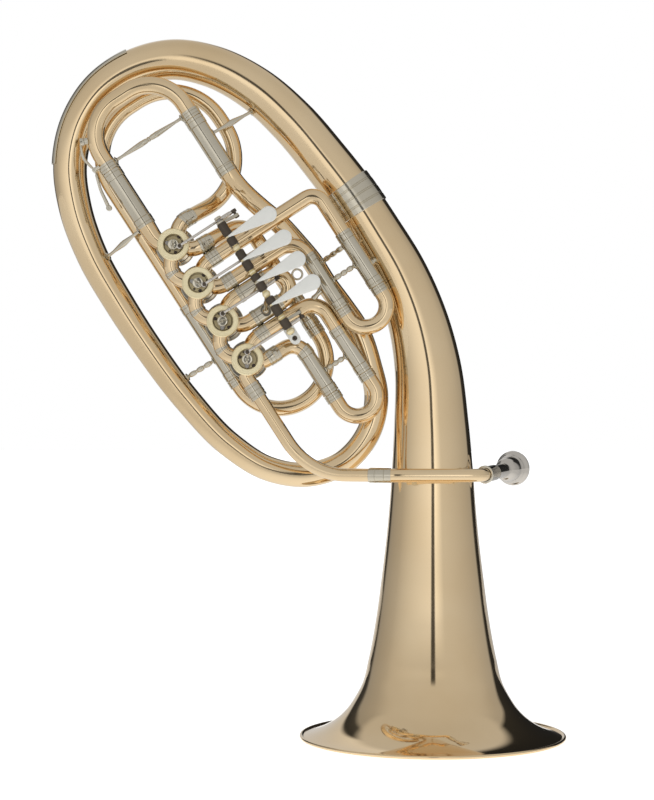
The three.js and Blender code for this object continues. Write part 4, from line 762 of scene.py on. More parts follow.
# %% [markdown]
# The third valve's tubes lie in the plane of the ports, so they need no easing. The second valve's
# are only sleeves that point across the row.

# %% Tubes of the third and second valves
for name, side, leg, elbow in (("upper", -1, LEGS[3][0], 10), ("lower", 1, LEGS[3][1], 15)):
    line = PITCH + side * PORT_OFFSET
    corners = [port(1, side, 1), bank(line, PORT_OFFSET), bank(line, leg), bank(MOUTH[3], leg)]
    valve_tube(f"third_{name}_branch", bent(corners, [15, elbow]), 48, 1)
for name, side in (("upper", -1), ("lower", 1)):
    line = 2 * PITCH + side * PORT_OFFSET
    route = bent([port(2, side, 1), bank(line, PORT_OFFSET), bank(line, 42)], [15])
    valve_tube(f"second_{name}_sleeve", route, 22, 2, collar=3.6, first=None)
print("length of the last route in mm:", round(float(arc_length(route)[-1])))

# %% [markdown]
# The first valve is the lowest of the row, and its tubes run out towards the bell. They ease back
# too, but less far than the fourth's.

# %% Tubes of the first valve
LAST_OFFSET = 7.5
line = 3 * PITCH - PORT_OFFSET
route = bent([port(3, -1, 1), bank(line, PORT_OFFSET), bank(line, LEGS[1][0]),
              bank(MOUTH[1], LEGS[1][0])], [15, 14])
valve_tube("first_upper_branch", eased(route, 40, 30, PORT, LEG_DEPTH[1]), 40, 3)
line = 3 * PITCH + LAST_OFFSET
route = eased(bent([port(3, 1, 1), bank(line, LAST_OFFSET), bank(line, LEGS[1][1]),
                    bank(MOUTH[1], LEGS[1][1])], [12, 12]), 15, 20, PORT, LEG_DEPTH[1])
valve_tube("first_lower_branch", route, 40, 3, first=(4.5, 13.5))
print("length of the last route in mm:", round(float(arc_length(route)[-1])))

# %% [markdown]
# A knuckle is the short curved tube that joins one valve to the next. It leaves one rotor on its
# lower diagonal and enters the next on the other, with a single band round its middle.

# %% Knuckles
for valve in range(3):
    middle = (valve + 0.5) * PITCH
    route = bent([port(valve, 1, -1), bank(middle, -PITCH / 2), port(valve + 1, -1, -1)], [12.3])
    route = outside(route, valve, valve + 1)
    total = float(arc_length(route)[-1])
    bands = [(0.42 * total, 0.58 * total, 6.35, NICKEL, MIDDLE_LINE)]
    fitted(f"knuckle_{4 - valve}_{3 - valve}", route, bands, [(0, TUBE), (total, TUBE)], BORE)
print("length of a knuckle in mm:", round(total, 1))

# %% [markdown]
# A tuning slide is a bow with two straight legs that plug into their sleeves. The bow is brass, the
# legs are nickel silver so that they don't bind, and a band with two rolled lines stops each leg at
# the sleeve's mouth.

# %% Slides
LEG_RADII = 5.45, 5.3, TUBE, 4.95


def slide_bow(name, route, stops, collar, radii=LEG_RADII, lines=END_LINES, sides=SIDES):
    """A bow on two legs: each leg ends at a collar, which stops it at its sleeve's mouth.

    stops: the leg's end, the collar's start and its end. radii: leg, under the collar, bow, bore.
    """
    total = float(arc_length(route)[-1])
    leg_end, collar_start, collar_end = stops
    leg, core, bow, bore = radii
    bands = [(0, leg_end, leg, NICKEL, ()), (collar_start, collar_end, collar, NICKEL, lines)]
    bands += [(total - end, total - start, *band) for start, end, *band in bands[::-1]]
    base = mirrored([(0, core), (collar_start + 0.1, core), (collar_start + 0.3, bow)], total)
    rows = dressed(total, bands, base)
    return tube(name, route, rows, [(0, bore, 0), (total, bore, 0)], TUBE_MATERIALS, sides)


BOWS = [(1, 30, 185.5, 6.65), (3, 30, 132.4, 6.25), (4, 25, 152, 6.65)]
for number, plugged, apex, collar in BOWS:
    legs, depth, leg_end = LEGS[number], LEG_DEPTH[number], MOUTH[number] - plugged
    corners = [bank(leg_end, legs[0], depth), bank(apex, legs[0], depth),
               bank(apex, legs[1], depth), bank(leg_end, legs[1], depth)]
    route = bent(corners, [abs(legs[1] - legs[0]) / 2] * 2, math.radians(4))
    collar_at = plugged + 0.15, plugged + 0.3, plugged + 6.5
    bow = slide_bow(f"v_slide_{number}", route, collar_at, collar)
    settled(bow, f"slide_{number}")
    print("slide", number, "has a tube of mm:", round(float(arc_length(route)[-1])))

# %% [markdown]
# The second valve's slide is so short that it points across the row instead, and is drawn by a
# small wire ring soldered to the top of its bow. Blender has a torus of its own, but its operator
# works on the selection and would need turning into the row's lines afterwards.

# %% The second slide and its ring
CENTRE_2 = 2 * PITCH
sides_2 = CENTRE_2 - PORT_OFFSET, CENTRE_2 + PORT_OFFSET
corners = [bank(sides_2[0], 27), bank(sides_2[0], 56.8),
           bank(sides_2[1], 56.8), bank(sides_2[1], 27)]
route = bent(corners, [PORT_OFFSET, PORT_OFFSET])
bow_2 = slide_bow("bow_2", route, (15.1, 15.3, 18.6), 6.65, lines=MIDDLE_LINE)


def wire_ring(name, centre, radius, wire, sides=48, small=14):
    """A torus: centre + (R + r cos b)(cos a u + sin a v) + r sin b w."""
    u, v, w = ALONG, ACROSS, np.cross(ALONG, ACROSS)
    a = np.linspace(0, 2 * math.pi, sides, endpoint=False)[:, None, None]
    b = np.linspace(0, 2 * math.pi, small, endpoint=False)[None, :, None]
    reach = radius + wire * np.cos(b)
    grid = centre + reach * (np.cos(a) * u + np.sin(a) * v) + wire * np.sin(b) * w
    return skin(name, grid, [nickel])


ring_2 = wire_ring("ring_2", bank(CENTRE_2, 66.4), 3.8, 0.8)
slide_2 = settled(merged("v_slide_2", [bow_2, ring_2]), "slide_2")
print("faces of the second slide with its ring:", len(slide_2.data.polygons))

# %% [markdown]
# The main tuning slide is the widest. Its left sleeve grows out of the fourth valve's own tube, so
# the two are one piece. The right sleeve is all nickel silver and takes the inner branch's end.

# %% Sleeves of the main slide
MAIN_SLEEVE, SLEEVE_LENGTH, PLUGGED = 7.3, 49.5, 44
MAIN_COLLAR = MAIN_SLEEVE + COLLAR_RISE
left = bent([port(0, -1, -1), bank(MAIN_LEFT, MAIN_LEFT), bank(MAIN_TOP, MAIN_LEFT)], [15])
left = outside(left, 0)
total = float(arc_length(left)[-1])
start = total - SLEEVE_LENGTH
base = [(0, TUBE), (8, TUBE), (start, 6.9), (total, 6.9)]
fitted("main_sleeve_left", left, sleeve_bands(start, total, 7, MAIN_SLEEVE), base, BORE)
right = spaced(np.array([bank(MAIN_BOTTOM, MAIN_RIGHT), bank(MAIN_TOP, MAIN_RIGHT)]))
bands = sleeve_bands(0, SLEEVE_LENGTH, 7, MAIN_SLEEVE, (0.35, 0.8))
base = [(0, 7), (SLEEVE_LENGTH, 7)]
fitted("main_sleeve_right", right, bands, base, 6.8)
print("length of the left sleeve's tube in mm:", round(total, 1))

# %% [markdown]
# The main slide's bow carries the hinge and the nozzle of the water key on its left shoulder. They
# are soldered to it, so they are part of its mesh and move with it when the slide is pulled.

# %% The main slide's bow
low, crown = MAIN_TOP + PLUGGED, -117.5
bow_route = bent([bank(low, MAIN_LEFT), bank(crown, MAIN_LEFT), bank(crown, MAIN_RIGHT),
                  bank(low, MAIN_RIGHT)], [31, 31], math.radians(3))
bow_stops = PLUGGED + 0.15, PLUGGED + 0.3, PLUGGED + 7
bow_radii = 6.45, 6.3, 6.7, 5.95
main_bow = slide_bow("main_bow", bow_route, bow_stops, MAIN_COLLAR, bow_radii, sides=48)


def key_at(along, across, depth=0.0):
    """A point of the valve row measured from the middle of the water key."""
    return bank(along, across, PORT + depth)


PIVOT = (-80.7, -19.7)
parts = [main_bow]
for side in (-1, 1):
    near, far, edge = (key_at(*PIVOT, side * depth) for depth in (3.3, 4.7, 4.0))
    parts.append(turned("lug", near, far, bevelled(1.4, 1.9, 0.2), [nickel]))
    leg_rows = [(0, 0.7), (0, 1.3), (4.4, 1.7), (4.4, 0.5)]
    parts.append(turned("leg", edge, key_at(PIVOT[0], -16.0, side * 4.0), leg_rows, [nickel], 16))
pin_rows = bevelled(10, 0.7, 0.3, 0.4)
parts.append(turned("axle", key_at(*PIVOT, -5), key_at(*PIVOT, 5), pin_rows, [steel], 20))
nozzle_rows = [(0, 0), (0, 2.6), (1.2, 2.6), (1.6, 2.9), (5.6, 2.9), (6.2, 2.6), (6.22, 1.9),
               (0.5, 1.9), (0.5, 0)]
nozzle_ends = key_at(-100.8, -9), key_at(-103.4, -14.7)
parts.append(turned("nozzle", *nozzle_ends, nozzle_rows, [nickel], 28))
settled(merged("v_main_tuning_slide", parts), "main_slide")
print("parts on the main slide's bow:", len(parts) - 1)

# %% [markdown]
# The water key is a small sprung lever: a barrel on the axle, a cork pad in a cup over the nozzle
# and a finger piece at the other end.

# %% The water key
barrel_rows = mirrored([(0, 1.0), (0, 1.7), (0.2, 1.9), (2.6, 1.9), (2.8, 1.75)], 6)
barrel_ends = key_at(*PIVOT, -3), key_at(*PIVOT, 3)
parts = [turned("barrel", *barrel_ends, barrel_rows, [nickel], 28, wrap=True)]
arm = bent([key_at(-82.2, -20.3), key_at(-93, -22.4), key_at(-104.2, -17.9)], [12])
finger = bent([key_at(-79.2, -20.1), key_at(-66, -24.2), key_at(-51, -26.2)], [30])
for name, line, radii in (("arm", arm, (0.9, 1.3, 0.9)), ("finger", finger, (1.0, 1.15, 1.5))):
    length = float(arc_length(line)[-1])
    stops = np.linspace(0, length, 14)
    radii = np.interp(stops, [0, length / 2, length], radii)
    radii[0] = radii[-1] = 0.1
    rings = swept_rings(line, np.column_stack([stops, radii]), 18)
    parts.append(skin(name, rings, [nickel], wrap=False))
pad_rows = [(0, 0), (0, 2.6), (0.9, 2.75), (0.9, 3.15), (2.7, 3.2), (3.0, 2.6), (3.3, 1.2),
            (3.3, 0)]
parts.append(turned("pad", key_at(-103.5, -15.0), key_at(-104.8, -17.8), pad_rows, [nickel], 28))
tip_rows = mirrored([(0, 0), (0, 1.7), (0.4, 2.15), (0.8, 2.2)], 4.4)
tip_ends = key_at(-51, -26.2, -2.2), key_at(-51, -26.2, 2.2)
parts.append(turned("tip", *tip_ends, tip_rows, [nickel], 28))
settled(merged("v_water_key", parts), "water_key")
print("parts of the water key:", len(parts))

# %% [markdown]
# The leadpipe is the narrow end of the instrument. It leaves the first valve, swings forward and
# across the front of the bell, and ends in the receiver that takes the mouthpiece's shank.

# %% The leadpipe
TURN, CLIMB = math.radians(24), math.radians(2.5)
LEVEL = math.cos(CLIMB)
HEADING = np.array([math.sin(TURN) * LEVEL, math.cos(TURN) * LEVEL, math.sin(CLIMB)])
FRONT = -51
lead_turn = bank(200.5, -8.2, PORT + (FRONT - PORT) / 8)
lead_level = lead_turn[2]
lead_last = np.array([BELL_X + 33.5, FRONT, lead_level])
lead_end = lead_last + 12 * HEADING
corners = [port(3, 1, -1), bank(3 * PITCH + 8.2, -8.2), lead_turn,
           np.array([BELL_X - 38, FRONT, lead_level]), lead_last, lead_end]
lead = outside(bent(corners, [12, 52, 60, 12], math.radians(3)), 3)
lead_lengths = arc_length(lead)
total = float(lead_lengths[-1])
ferrule_ends = [BELL_X - 49.5, BELL_X - 33.5]
mid_start, mid_end = np.interp(ferrule_ends, lead[60:, 0], lead_lengths[60:])
bands = [(8.5, 21, FERRULE, NICKEL, LINES), (mid_start, mid_end, 5.75, NICKEL, END_LINES)]
base = [(0, 5.8), (8, 5.8), (21, 5.2), (40, 5.0), (mid_start + 4, 5.0), (mid_end - 4, 5.2),
        (total - 4, 5.2), (total - 3.7, 4.95), (total, 4.95)]
fitted("leadpipe", lead, bands, base, 4.5)
print("leadpipe length in mm:", round(total))

# %% [markdown]
# The receiver is a short turned socket at the leadpipe's end, with a ring at its start. It points
# where the leadpipe's last length points, and the mouthpiece's shank plugs into it.

# %% The receiver
mouth = lead_end + 17.5 * HEADING
RECEIVER = 21
receiver_rows = [(0, 5.3), (0, 6.2), (0.4, 6.8), (1.5, 6.8), (1.9, 6.1), (2.2, 5.95), (20.4, 5.95),
                 (20.8, 5.8), (RECEIVER, 5.6), (RECEIVER, 5.3)]
receiver_start = mouth - RECEIVER * HEADING
receiver = turned("v_mouthpiece_receiver", receiver_start, mouth, receiver_rows, [nickel], 48,
                  wrap=True)
settled(receiver, "horn")
print("the receiver opens at:", mouth.round(1))

# %% [markdown]
# The mouthpiece is turned and silver plated: a plain tapered shank, a backbore that widens from
# the throat, a bowl-shaped cup and a rounded rim.

# %% Mouthpiece
RIM, LENGTH, PLUGGED_SHANK = 13.4, 63, 17
outside_rows = [
    (0, 0.33), (0.008, 0.345), (0.3, 0.375), (0.55, 0.4), (0.6, 0.41), (0.625, 0.44),
    (0.64, 0.5), (0.66, 0.58), (0.7, 0.655), (0.76, 0.705), (0.82, 0.725), (0.86, 0.735),
    (0.872, 0.775), (0.885, 0.8), (0.9, 0.805), (0.915, 0.84), (0.93, 0.9), (0.945, 0.965),
    (0.96, 1.0), (0.972, 1.005), (0.984, 0.99), (0.993, 0.945), (0.999, 0.88), (1.0, 0.82),
    (0.996, 0.75), (0.985, 0.69), (0.965, 0.655),
]
inside_rows = [(0.93, 0.62), (0.89, 0.55), (0.85, 0.42), (0.81, 0.26), (0.78, 0.17), (0.74, 0.14),
               (0.6, 0.15), (0.3, 0.2), (0, 0.25)]
rows = [(length * LENGTH, radius * RIM) for length, radius in outside_rows + inside_rows]
shank_end = mouth - PLUGGED_SHANK * HEADING
mouthpiece = turned("v_mouthpiece", shank_end, mouth, rows, [silver], 72, wrap=True, crease=50)
settled(mouthpiece, "mouthpiece")
print("rows of the mouthpiece's outline:", len(rows))

# %% [markdown]
# Each valve is a cup with a flanged back, a rotor that turns in it and a brushed cap with a round
# window. Through the window one sees the bearing plate with its two stop corks, the rotor's stop
# arm, and the slotted screw that holds the arm to the spindle.

# %% Casings
CASING_BACK, PLATE_BACK = -12.5, -36.9


def raised(name, along, across, depth, rows, materials, sides=32, wrap=False):
    """A turned piece that stands on the bank and points forward from a depth."""
    start = bank(along, across, depth)
    return turned(name, start, start - DEPTH, rows, materials, sides, wrap)


def casing(number, valve):
    """The cup with its flange, the bearing plate, and two stops and two screws on the plate."""
    at = valve * PITCH
    cup = [(-1.3, 0), (-1.3, 2.6), (-1.0, 3.0), (0.3, 3.1), (0.3, 14.5, 1), (0.7, 15.0, 1),
           (2.3, 15.0, 1), (2.7, 14.6, 1), (2.7, 12.5), (3.1, 12.2), (24.6, 12.2), (24.7, 12.0),
           (24.9, 12.0), (25.0, 12.2), (26.7, 12.2), (27, 11.9), (27, 11.0), (1.6, 11.0), (1.6, 0)]
    plate_rows = [(0, 3.9), (0, 10.6), (1.2, 10.6), (1.2, 7.0), (1.7, 6.6), (1.7, 3.9)]
    stop_rows = [(0, 0), (0, 1.25), (1.5, 1.3), (1.9, 1.0), (1.9, 0)]
    screw_rows = [(0, 0), (0, 0.95), (0.5, 0.95), (0.7, 0.7), (0.7, 0.25), (0.4, 0.2), (0.4, 0)]
    # The bearing plate's dark brass is painted shade inside the casing.
    pieces = [raised("cup", at, 0, CASING_BACK, cup, [gold_brass, nickel], 72),
              raised("bearing", at, 0, PLATE_BACK, plate_rows, [shaded_bearing_brass], 56, True)]
    for degrees in (65, 205):
        turn = math.radians(degrees if valve < 2 else degrees + 110)
        for name, reach, spin, rows, material, sides in (
                ("stop", 6.4, 0, stop_rows, cork, 20),
                ("screw", 6.2, 0.75, screw_rows, gunmetal, 16)):
            along = at - reach * math.cos(turn + spin)
            across = 0.9 + reach * math.sin(turn + spin)
            pieces.append(raised(name, along, across, -38.2, rows, [material], sides))
    settled(merged(f"v_valve_casing_{number}", pieces), "horn")


print("casings reach from depth", CASING_BACK, "to", CASING_BACK - 27)

# %% [markdown]
# The cap screws onto the casing's front. Its window is cut a little off centre, so it can't be
# turned as one outline: the outer rings and the window's rings have centres of their own, and the
# surface runs from one to the other.

# %% Caps
CAP_SEAT = -39.8


def cap(number, valve, window_shift=0.3):
    """A ring between an outer circle and a window set off centre; edges bevelled, face dished."""
    turn = np.linspace(0, 2 * math.pi, 96, endpoint=False)
    circle = np.cos(turn)[:, None] * ALONG + np.sin(turn)[:, None] * ACROSS
    outer = [(11.5, 0), (12.0, 0.5), (12.0, 1.6), (11.45, 2.2), (10.9, 2.2), (10.8, 2.1)]
    window = [(8.3, 2.1), (8.2, 2.2), (7.9, 2.2), (7.6, 1.9), (7.6, 0.3), (7.9, 0)]
    rings = [bank(valve * PITCH, shift, CAP_SEAT - rise) + radius * circle
             for rows, shift in ((outer, 0), (window, window_shift)) for radius, rise in rows]
    piece = skin(f"v_valve_cap_{number}", np.array(rings), [cap_brass], crease=20)
    settled(piece, "horn")


print("depth of the caps' faces:", CAP_SEAT - 2.2)

# %% [markdown]
# Some parts are sawn from sheet instead of turned: arms, feet and the plate of the rack. Each is an
# outline drawn on the valve row, mostly a capsule, given a thickness with its edges broken.

# %% Flat plates


def plate_outline(name, points, front, back, materials, crease=30):
    """A flat plate: its outline at four depths, with the two faces' edges drawn in a little."""
    points = np.asarray(points, float)
    inward = points.mean(axis=0) - points
    inward /= np.maximum(np.linalg.norm(inward, axis=1, keepdims=True), 1e-6)
    edge = 0.18 * math.copysign(1, back - front)
    rings = []
    for inset, depth in ((0.22, front), (0.0, front + edge), (0.0, back - edge), (0.22, back)):
        flat = points + inset * inward
        rings.append(FIRST_CENTRE + flat[:, :1] * ALONG + flat[:, 1:] * ACROSS + depth * DEPTH)
    return skin(name, np.array(rings), materials, wrap=False, crease=crease)


def capsule(a, b, ra, rb, count=14):
    """Outline round two circles: half a turn about each end."""
    a, b = np.asarray(a, float), np.asarray(b, float)
    heading = math.atan2(*(b - a)[::-1])
    first = heading + np.linspace(math.pi / 2, 3 * math.pi / 2, count)
    second = heading + np.linspace(-math.pi / 2, math.pi / 2, count)
    one = a + ra * np.stack([np.cos(first), np.sin(first)], axis=1)
    two = b + rb * np.stack([np.cos(second), np.sin(second)], axis=1)
    return np.concatenate([one, two])


print("points round a capsule:", len(capsule((0, 0), (5, 0), 2, 1)))

# %% [markdown]
# A screw's slot is what tells the eye that it is a screw. The head is a turned button whose top
# points are pressed down along one straight line. Cutting the slot with a Boolean would give
# sharper walls, but also an untidy mesh for a thing a few millimetres wide.

# %% Slotted screws
SLOT = 0.6


def slotted(name, centre, radius, depth, height, turn, material):
    """A screw head: a turned button whose top is pressed in along one straight slot."""
    rings_at = np.array([1, 1, 0.94, 0.85, 0.7, 0.55, 0.4, 0.25, 0.12, 0.02]) * radius
    rise = np.array([0, 0.75, 0.95, 1, 1.02, 1.03, 1.04, 1.04, 1.04, 1.04]) * height
    angle = np.linspace(0, 2 * math.pi, 64, endpoint=False)
    x = rings_at[:, None] * np.cos(angle)
    y = rings_at[:, None] * np.sin(angle)
    off = x * math.cos(turn) + y * math.sin(turn)
    top = (rings_at < radius * 0.97)[:, None]
    pressed = np.clip((0.55 - np.abs(off)) / 0.25, 0, 1) * SLOT * top
    deep = depth - (rise[:, None] - pressed)
    grid = centre + x[..., None] * ALONG + y[..., None] * ACROSS + deep[..., None] * DEPTH
    return skin(name, grid, [material], wrap=False, crease=25)


print("depth of a slot in mm:", SLOT)

# %% [markdown]
# The rotor turns a quarter turn when its lever is pressed. A small arm on its spindle carries the
# ball joint of the push rod, and two stop corks end its travel.

# %% Rotors
ARMS = [(3.8, 3.5), (3.8, 3.5), (-4.5, 3.2), (-4.5, 3.2)]


def rotor(number, valve):
    """The core in its chamber, the stop arm with its fan and boss, and the screw on top."""
    at = valve * PITCH
    up, right = ARMS[valve]
    core_rows = [(1.9, 0), (1.9, 10.3), (2.3, 10.7), (23.4, 10.7), (23.8, 10.3), (23.8, 3.2),
                 (28.6, 3.2), (28.6, 0)]
    boss_rows = [(0, 0), (0, 1.5), (1.35, 1.5), (1.5, 1.3), (1.5, 0)]
    arm = capsule((at, 0), (at + up, right), 3.4, 1.6)
    fan = capsule((at - 0.4 * up, -0.4 * right), (at - up * 0.95, -right * 0.95), 2.6, 1.5)
    pieces = [raised("core", at, 0, CASING_BACK, core_rows, [nickel], 56),
              plate_outline("arm", arm, -42.0, -40.3, [nickel]),
              plate_outline("fan", fan, -41.2, -40.4, [steel]),
              raised("boss", at + up, right, -41.95, boss_rows, [steel], 24),
              slotted("screw", bank(at, 0, 0), 3.9, -42.0, 1.2, 0.9 + valve, nickel)]
    settled(merged(f"v_rotor_{number}", pieces), f"rotor_{number}")


for valve in range(4):
    casing(4 - valve, valve)
    cap(4 - valve, valve)
    rotor(4 - valve, valve)
print("valves made")

# %% [markdown]
# Four levers share one long axle in front of the valves. Each has dark drums that hide its return
# spring, a polished teardrop touch for the finger, and a short crank that drives its rod. Brass
# balls keep the drums apart.

# %% The axle and its drums
AXLE_V, AXLE_Y, ROD_Y = 38.6, -59.0, -44.8
CRANK_V = AXLE_V + 13
AXLE_BORE = 1.9
DRUMS = [[(7.6, 18.5), (20.4, 26.6)], [(32.2, 38.9), (41.0, 48.6)],
         [(53.2, 58.0), (59.9, 67.0)], [(73.2, 78.2), (80.2, 88.6)]]
TOUCHES = [19.3, 39.9, 58.9, 79.2]
SIDES_OF_CRANK = [1, 1, -1, -1]


def on_axle(along):
    """A point of the levers' axle."""
    return bank(along, AXLE_V, AXLE_Y)


def threaded(name, start, rows, material, sides=36):
    """A turned ring threaded on the axle."""
    return turned(name, on_axle(start), on_axle(start + 1), rows, [material], sides, wrap=True)


def drum(start, end):
    """A spring barrel: bevelled ends, a step near each end and a faint waist."""
    half = [(0, AXLE_BORE), (0, 3.1), (0.25, 3.35), (0.8, 3.35), (0.85, 3.6), (1.2, 3.65)]
    rows = mirrored(half, end - start, [((end - start) / 2, 3.5)])
    return threaded("drum", start, rows, gunmetal, 40)


def ball(start, end, radius=3.0, widest=0.9):
    """A turned ball between two collars, bored for the axle."""
    half = (end - start) / 2
    middle = [(half + (half - 0.7) * math.sin(t) / math.sin(widest), radius * math.cos(t) ** 0.8)
              for t in np.linspace(-widest, widest, 9)]
    ends = [(0, AXLE_BORE), (0, 2.2), (0.3, 2.4), (0.6, 2.2)]
    return threaded("ball", start, mirrored(ends, 2 * half, middle), cap_brass)


print("length of all levers' drums:", sum(end - start for row in DRUMS for start, end in row))

# %% [markdown]
# The touch is what the finger presses, a plate shaped like a teardrop. Its outline is a small
# round end and a large one with straight sides tangent to both. The plate is that outline drawn in
# towards its spine while the depth changes, so its rounded edge follows the teardrop all round.

# %% Touches


def touch(valve):
    """The teardrop: straight sides tangent to a round end, slightly domed, with a rounded edge."""
    at, slew = TOUCHES[valve], math.radians(3.8)
    reach, radius, neck = 33.5, 6.0, 0.9
    half = math.asin((radius - neck) / reach)
    near = np.linspace(math.pi / 2 + half, 3 * math.pi / 2 - half, 6)
    far = np.linspace(-math.pi / 2 - half, math.pi / 2 + half, 34)
    near_points = neck * np.stack([np.cos(near), np.sin(near)], axis=1)
    far_points = np.array([reach, 0]) + radius * np.stack([np.cos(far), np.sin(far)], axis=1)
    sides = np.linspace(0, 1, 12)[1:-1, None]
    low_side = near_points[-1] + sides * (far_points[0] - near_points[-1])
    high_side = far_points[-1] + sides * (near_points[0] - far_points[-1])
    shape = np.concatenate([near_points, low_side, far_points, high_side])
    spine = np.stack([np.clip(shape[:, 0], 0, reach), 0 * shape[:, 0]], axis=1)
    rings = []
    for share, depth in ((0.0, -1.7), (0.86, -1.7), (0.96, -1.85), (1.0, -2.1), (1.0, -2.6),
                         (0.96, -2.85), (0.88, -3.0), (0.6, -3.15), (0.3, -3.2), (0.0, -3.2)):
        flat = spine + max(share, 0.01) * (shape - spine)
        across = AXLE_V + flat[:, 0] * math.cos(slew) - flat[:, 1] * math.sin(slew)
        along = at + flat[:, 0] * math.sin(slew) + flat[:, 1] * math.cos(slew)
        rings.append(bank(along[:, None], across[:, None], AXLE_Y + depth))
    return skin("touch", np.array(rings), [plate], wrap=False, crease=60)


print("touches stand at:", TOUCHES)

# %% [markdown]
# A lever is everything that turns with one touch: its drums, the collar under the touch, and the
# crank, whose tapered arm ends at the stud for the push rod. The crank is cut from sheet, square to
# the axle, so its outline is drawn in across and depth.

# %% Levers


def lever(number, valve):
    """Drums, touch, the collar under it, and the crank: a hub, an arm and the stud for the rod."""
    rod_line = valve * PITCH + ARMS[valve][0]
    side = SIDES_OF_CRANK[valve]
    crank, at = rod_line + side * 3.9, TOUCHES[valve]
    pieces = [drum(*place) for place in DRUMS[valve]] + [touch(valve)]
    collar_rows = bevelled(1.6, 2.7, 0.2, bore=AXLE_BORE)
    hub_rows = bevelled(2.6, 3.2, 0.25, 0.3, AXLE_BORE)
    pieces.append(threaded("collar", at - 0.8, collar_rows, cap_brass))
    pieces.append(threaded("hub", crank - 1.3, hub_rows, nickel))
    axle, pin = np.array([AXLE_V, AXLE_Y]), np.array([CRANK_V, ROD_Y])
    reach = float(np.linalg.norm(pin - axle))
    heading = (pin - axle) / reach
    square = np.array([-heading[1], heading[0]])
    profile = [(3.0, 1.35), (5.0, 1.1), (reach - 4.0, 1.1), (reach - 1.7, 1.5), (reach, 1.75),
               (reach + 1.2, 1.5), (reach + 1.9, 0.6)]
    edge = np.array(profile + [(x, -y) for x, y in profile[::-1]])
    rings = []
    for inset, step in ((0.85, -1.3), (1.0, -1.1), (1.0, 1.1), (0.85, 1.3)):
        across, depth = (axle + edge[:, :1] * heading + inset * edge[:, 1:] * square).T
        rings.append(bank(crank + step, across[:, None], depth[:, None]))
    pieces.append(skin("crank", np.array(rings), [nickel], wrap=False))
    stud_ends = crank + side * 1.9, rod_line - side * 1.3
    start, end = (bank(place, CRANK_V, ROD_Y) for place in stud_ends)
    length = 7.1
    stud_rows = [(0, 0), (0, 1.4), (0.3, 1.9), (0.9, 1.9), (1.0, 1.1), (length - 0.3, 1.1),
                 (length, 0.8), (length, 0)]
    pieces.append(turned("stud", start, end, stud_rows, [gunmetal], 24))
    settled(merged(f"v_lever_{number}", pieces), f"lever_{number}")


print("the crank's pin is above the axle by mm:", CRANK_V - AXLE_V)

# %% [markdown]
# Each push rod ends in a ball joint at both sides: a slim eye over the rotor's arm, with a dark
# screw through it, and a thicker threaded socket at the crank, which sets the rod's length.

# %% Push rods


def rod(number, valve):
    """The eye with its screw, the shaft with its turned ends and thread, and the socket's ring."""
    line, near = valve * PITCH + ARMS[valve][0], ARMS[valve][1]
    reach = CRANK_V - near
    eye_rows = [(0, 0), (0, 1.9), (0.25, 2.2), (1.1, 2.2), (1.2, 2.05), (1.4, 2.05), (1.5, 2.15),
                (1.9, 1.8), (1.95, 0)]
    screw_rows = [(0, 0), (0, 1.45), (0.35, 1.45), (0.5, 1.2), (0.5, 0.5), (0.3, 0.4), (0.3, 0)]
    shaft_rows = [(1.2, 0), (1.2, 1.0), (2.6, 1.1), (4.6, 1.25), (4.8, 1.45), (6.6, 1.45),
                  (6.8, 1.2), (7.2, 1.0), (reach - 14.0, 0.95), (reach - 13.6, 1.25),
                  (reach - 12.0, 1.3), (reach - 11.8, 1.6)]
    for k in range(9):
        thread = reach - 11.6 + k * 0.9
        shaft_rows += [(thread, 1.62), (thread + 0.45, 1.7)]
    shaft_rows += [(reach - 3.2, 1.5), (reach - 1.6, 1.3), (reach - 1.5, 0)]
    start, end = bank(line, near, ROD_Y), bank(line, CRANK_V, ROD_Y)
    socket_rows = [(s - 1.3, r) for s, r in bevelled(2.6, 2.2, bore=1.4)]
    pieces = [raised("eye", line, near, -43.75, eye_rows, [silver], 36),
              raised("eye_screw", line, near, -45.6, screw_rows, [gunmetal], 28),
              turned("shaft", start, end, shaft_rows, [silver], 22),
              turned("socket", end, end + ALONG, socket_rows, [gunmetal], 32, wrap=True)]
    settled(merged(f"v_rod_{number}", pieces), f"rod_{number}")


for valve in range(4):
    lever(4 - valve, valve)
    rod(4 - valve, valve)
print("levers and rods made")

# %% [markdown]
# The rack that carries the levers is an axle in turned posts. Their feet are soldered to the valve
# tubes, and a light plate with one screw holds the end nearest the bell.

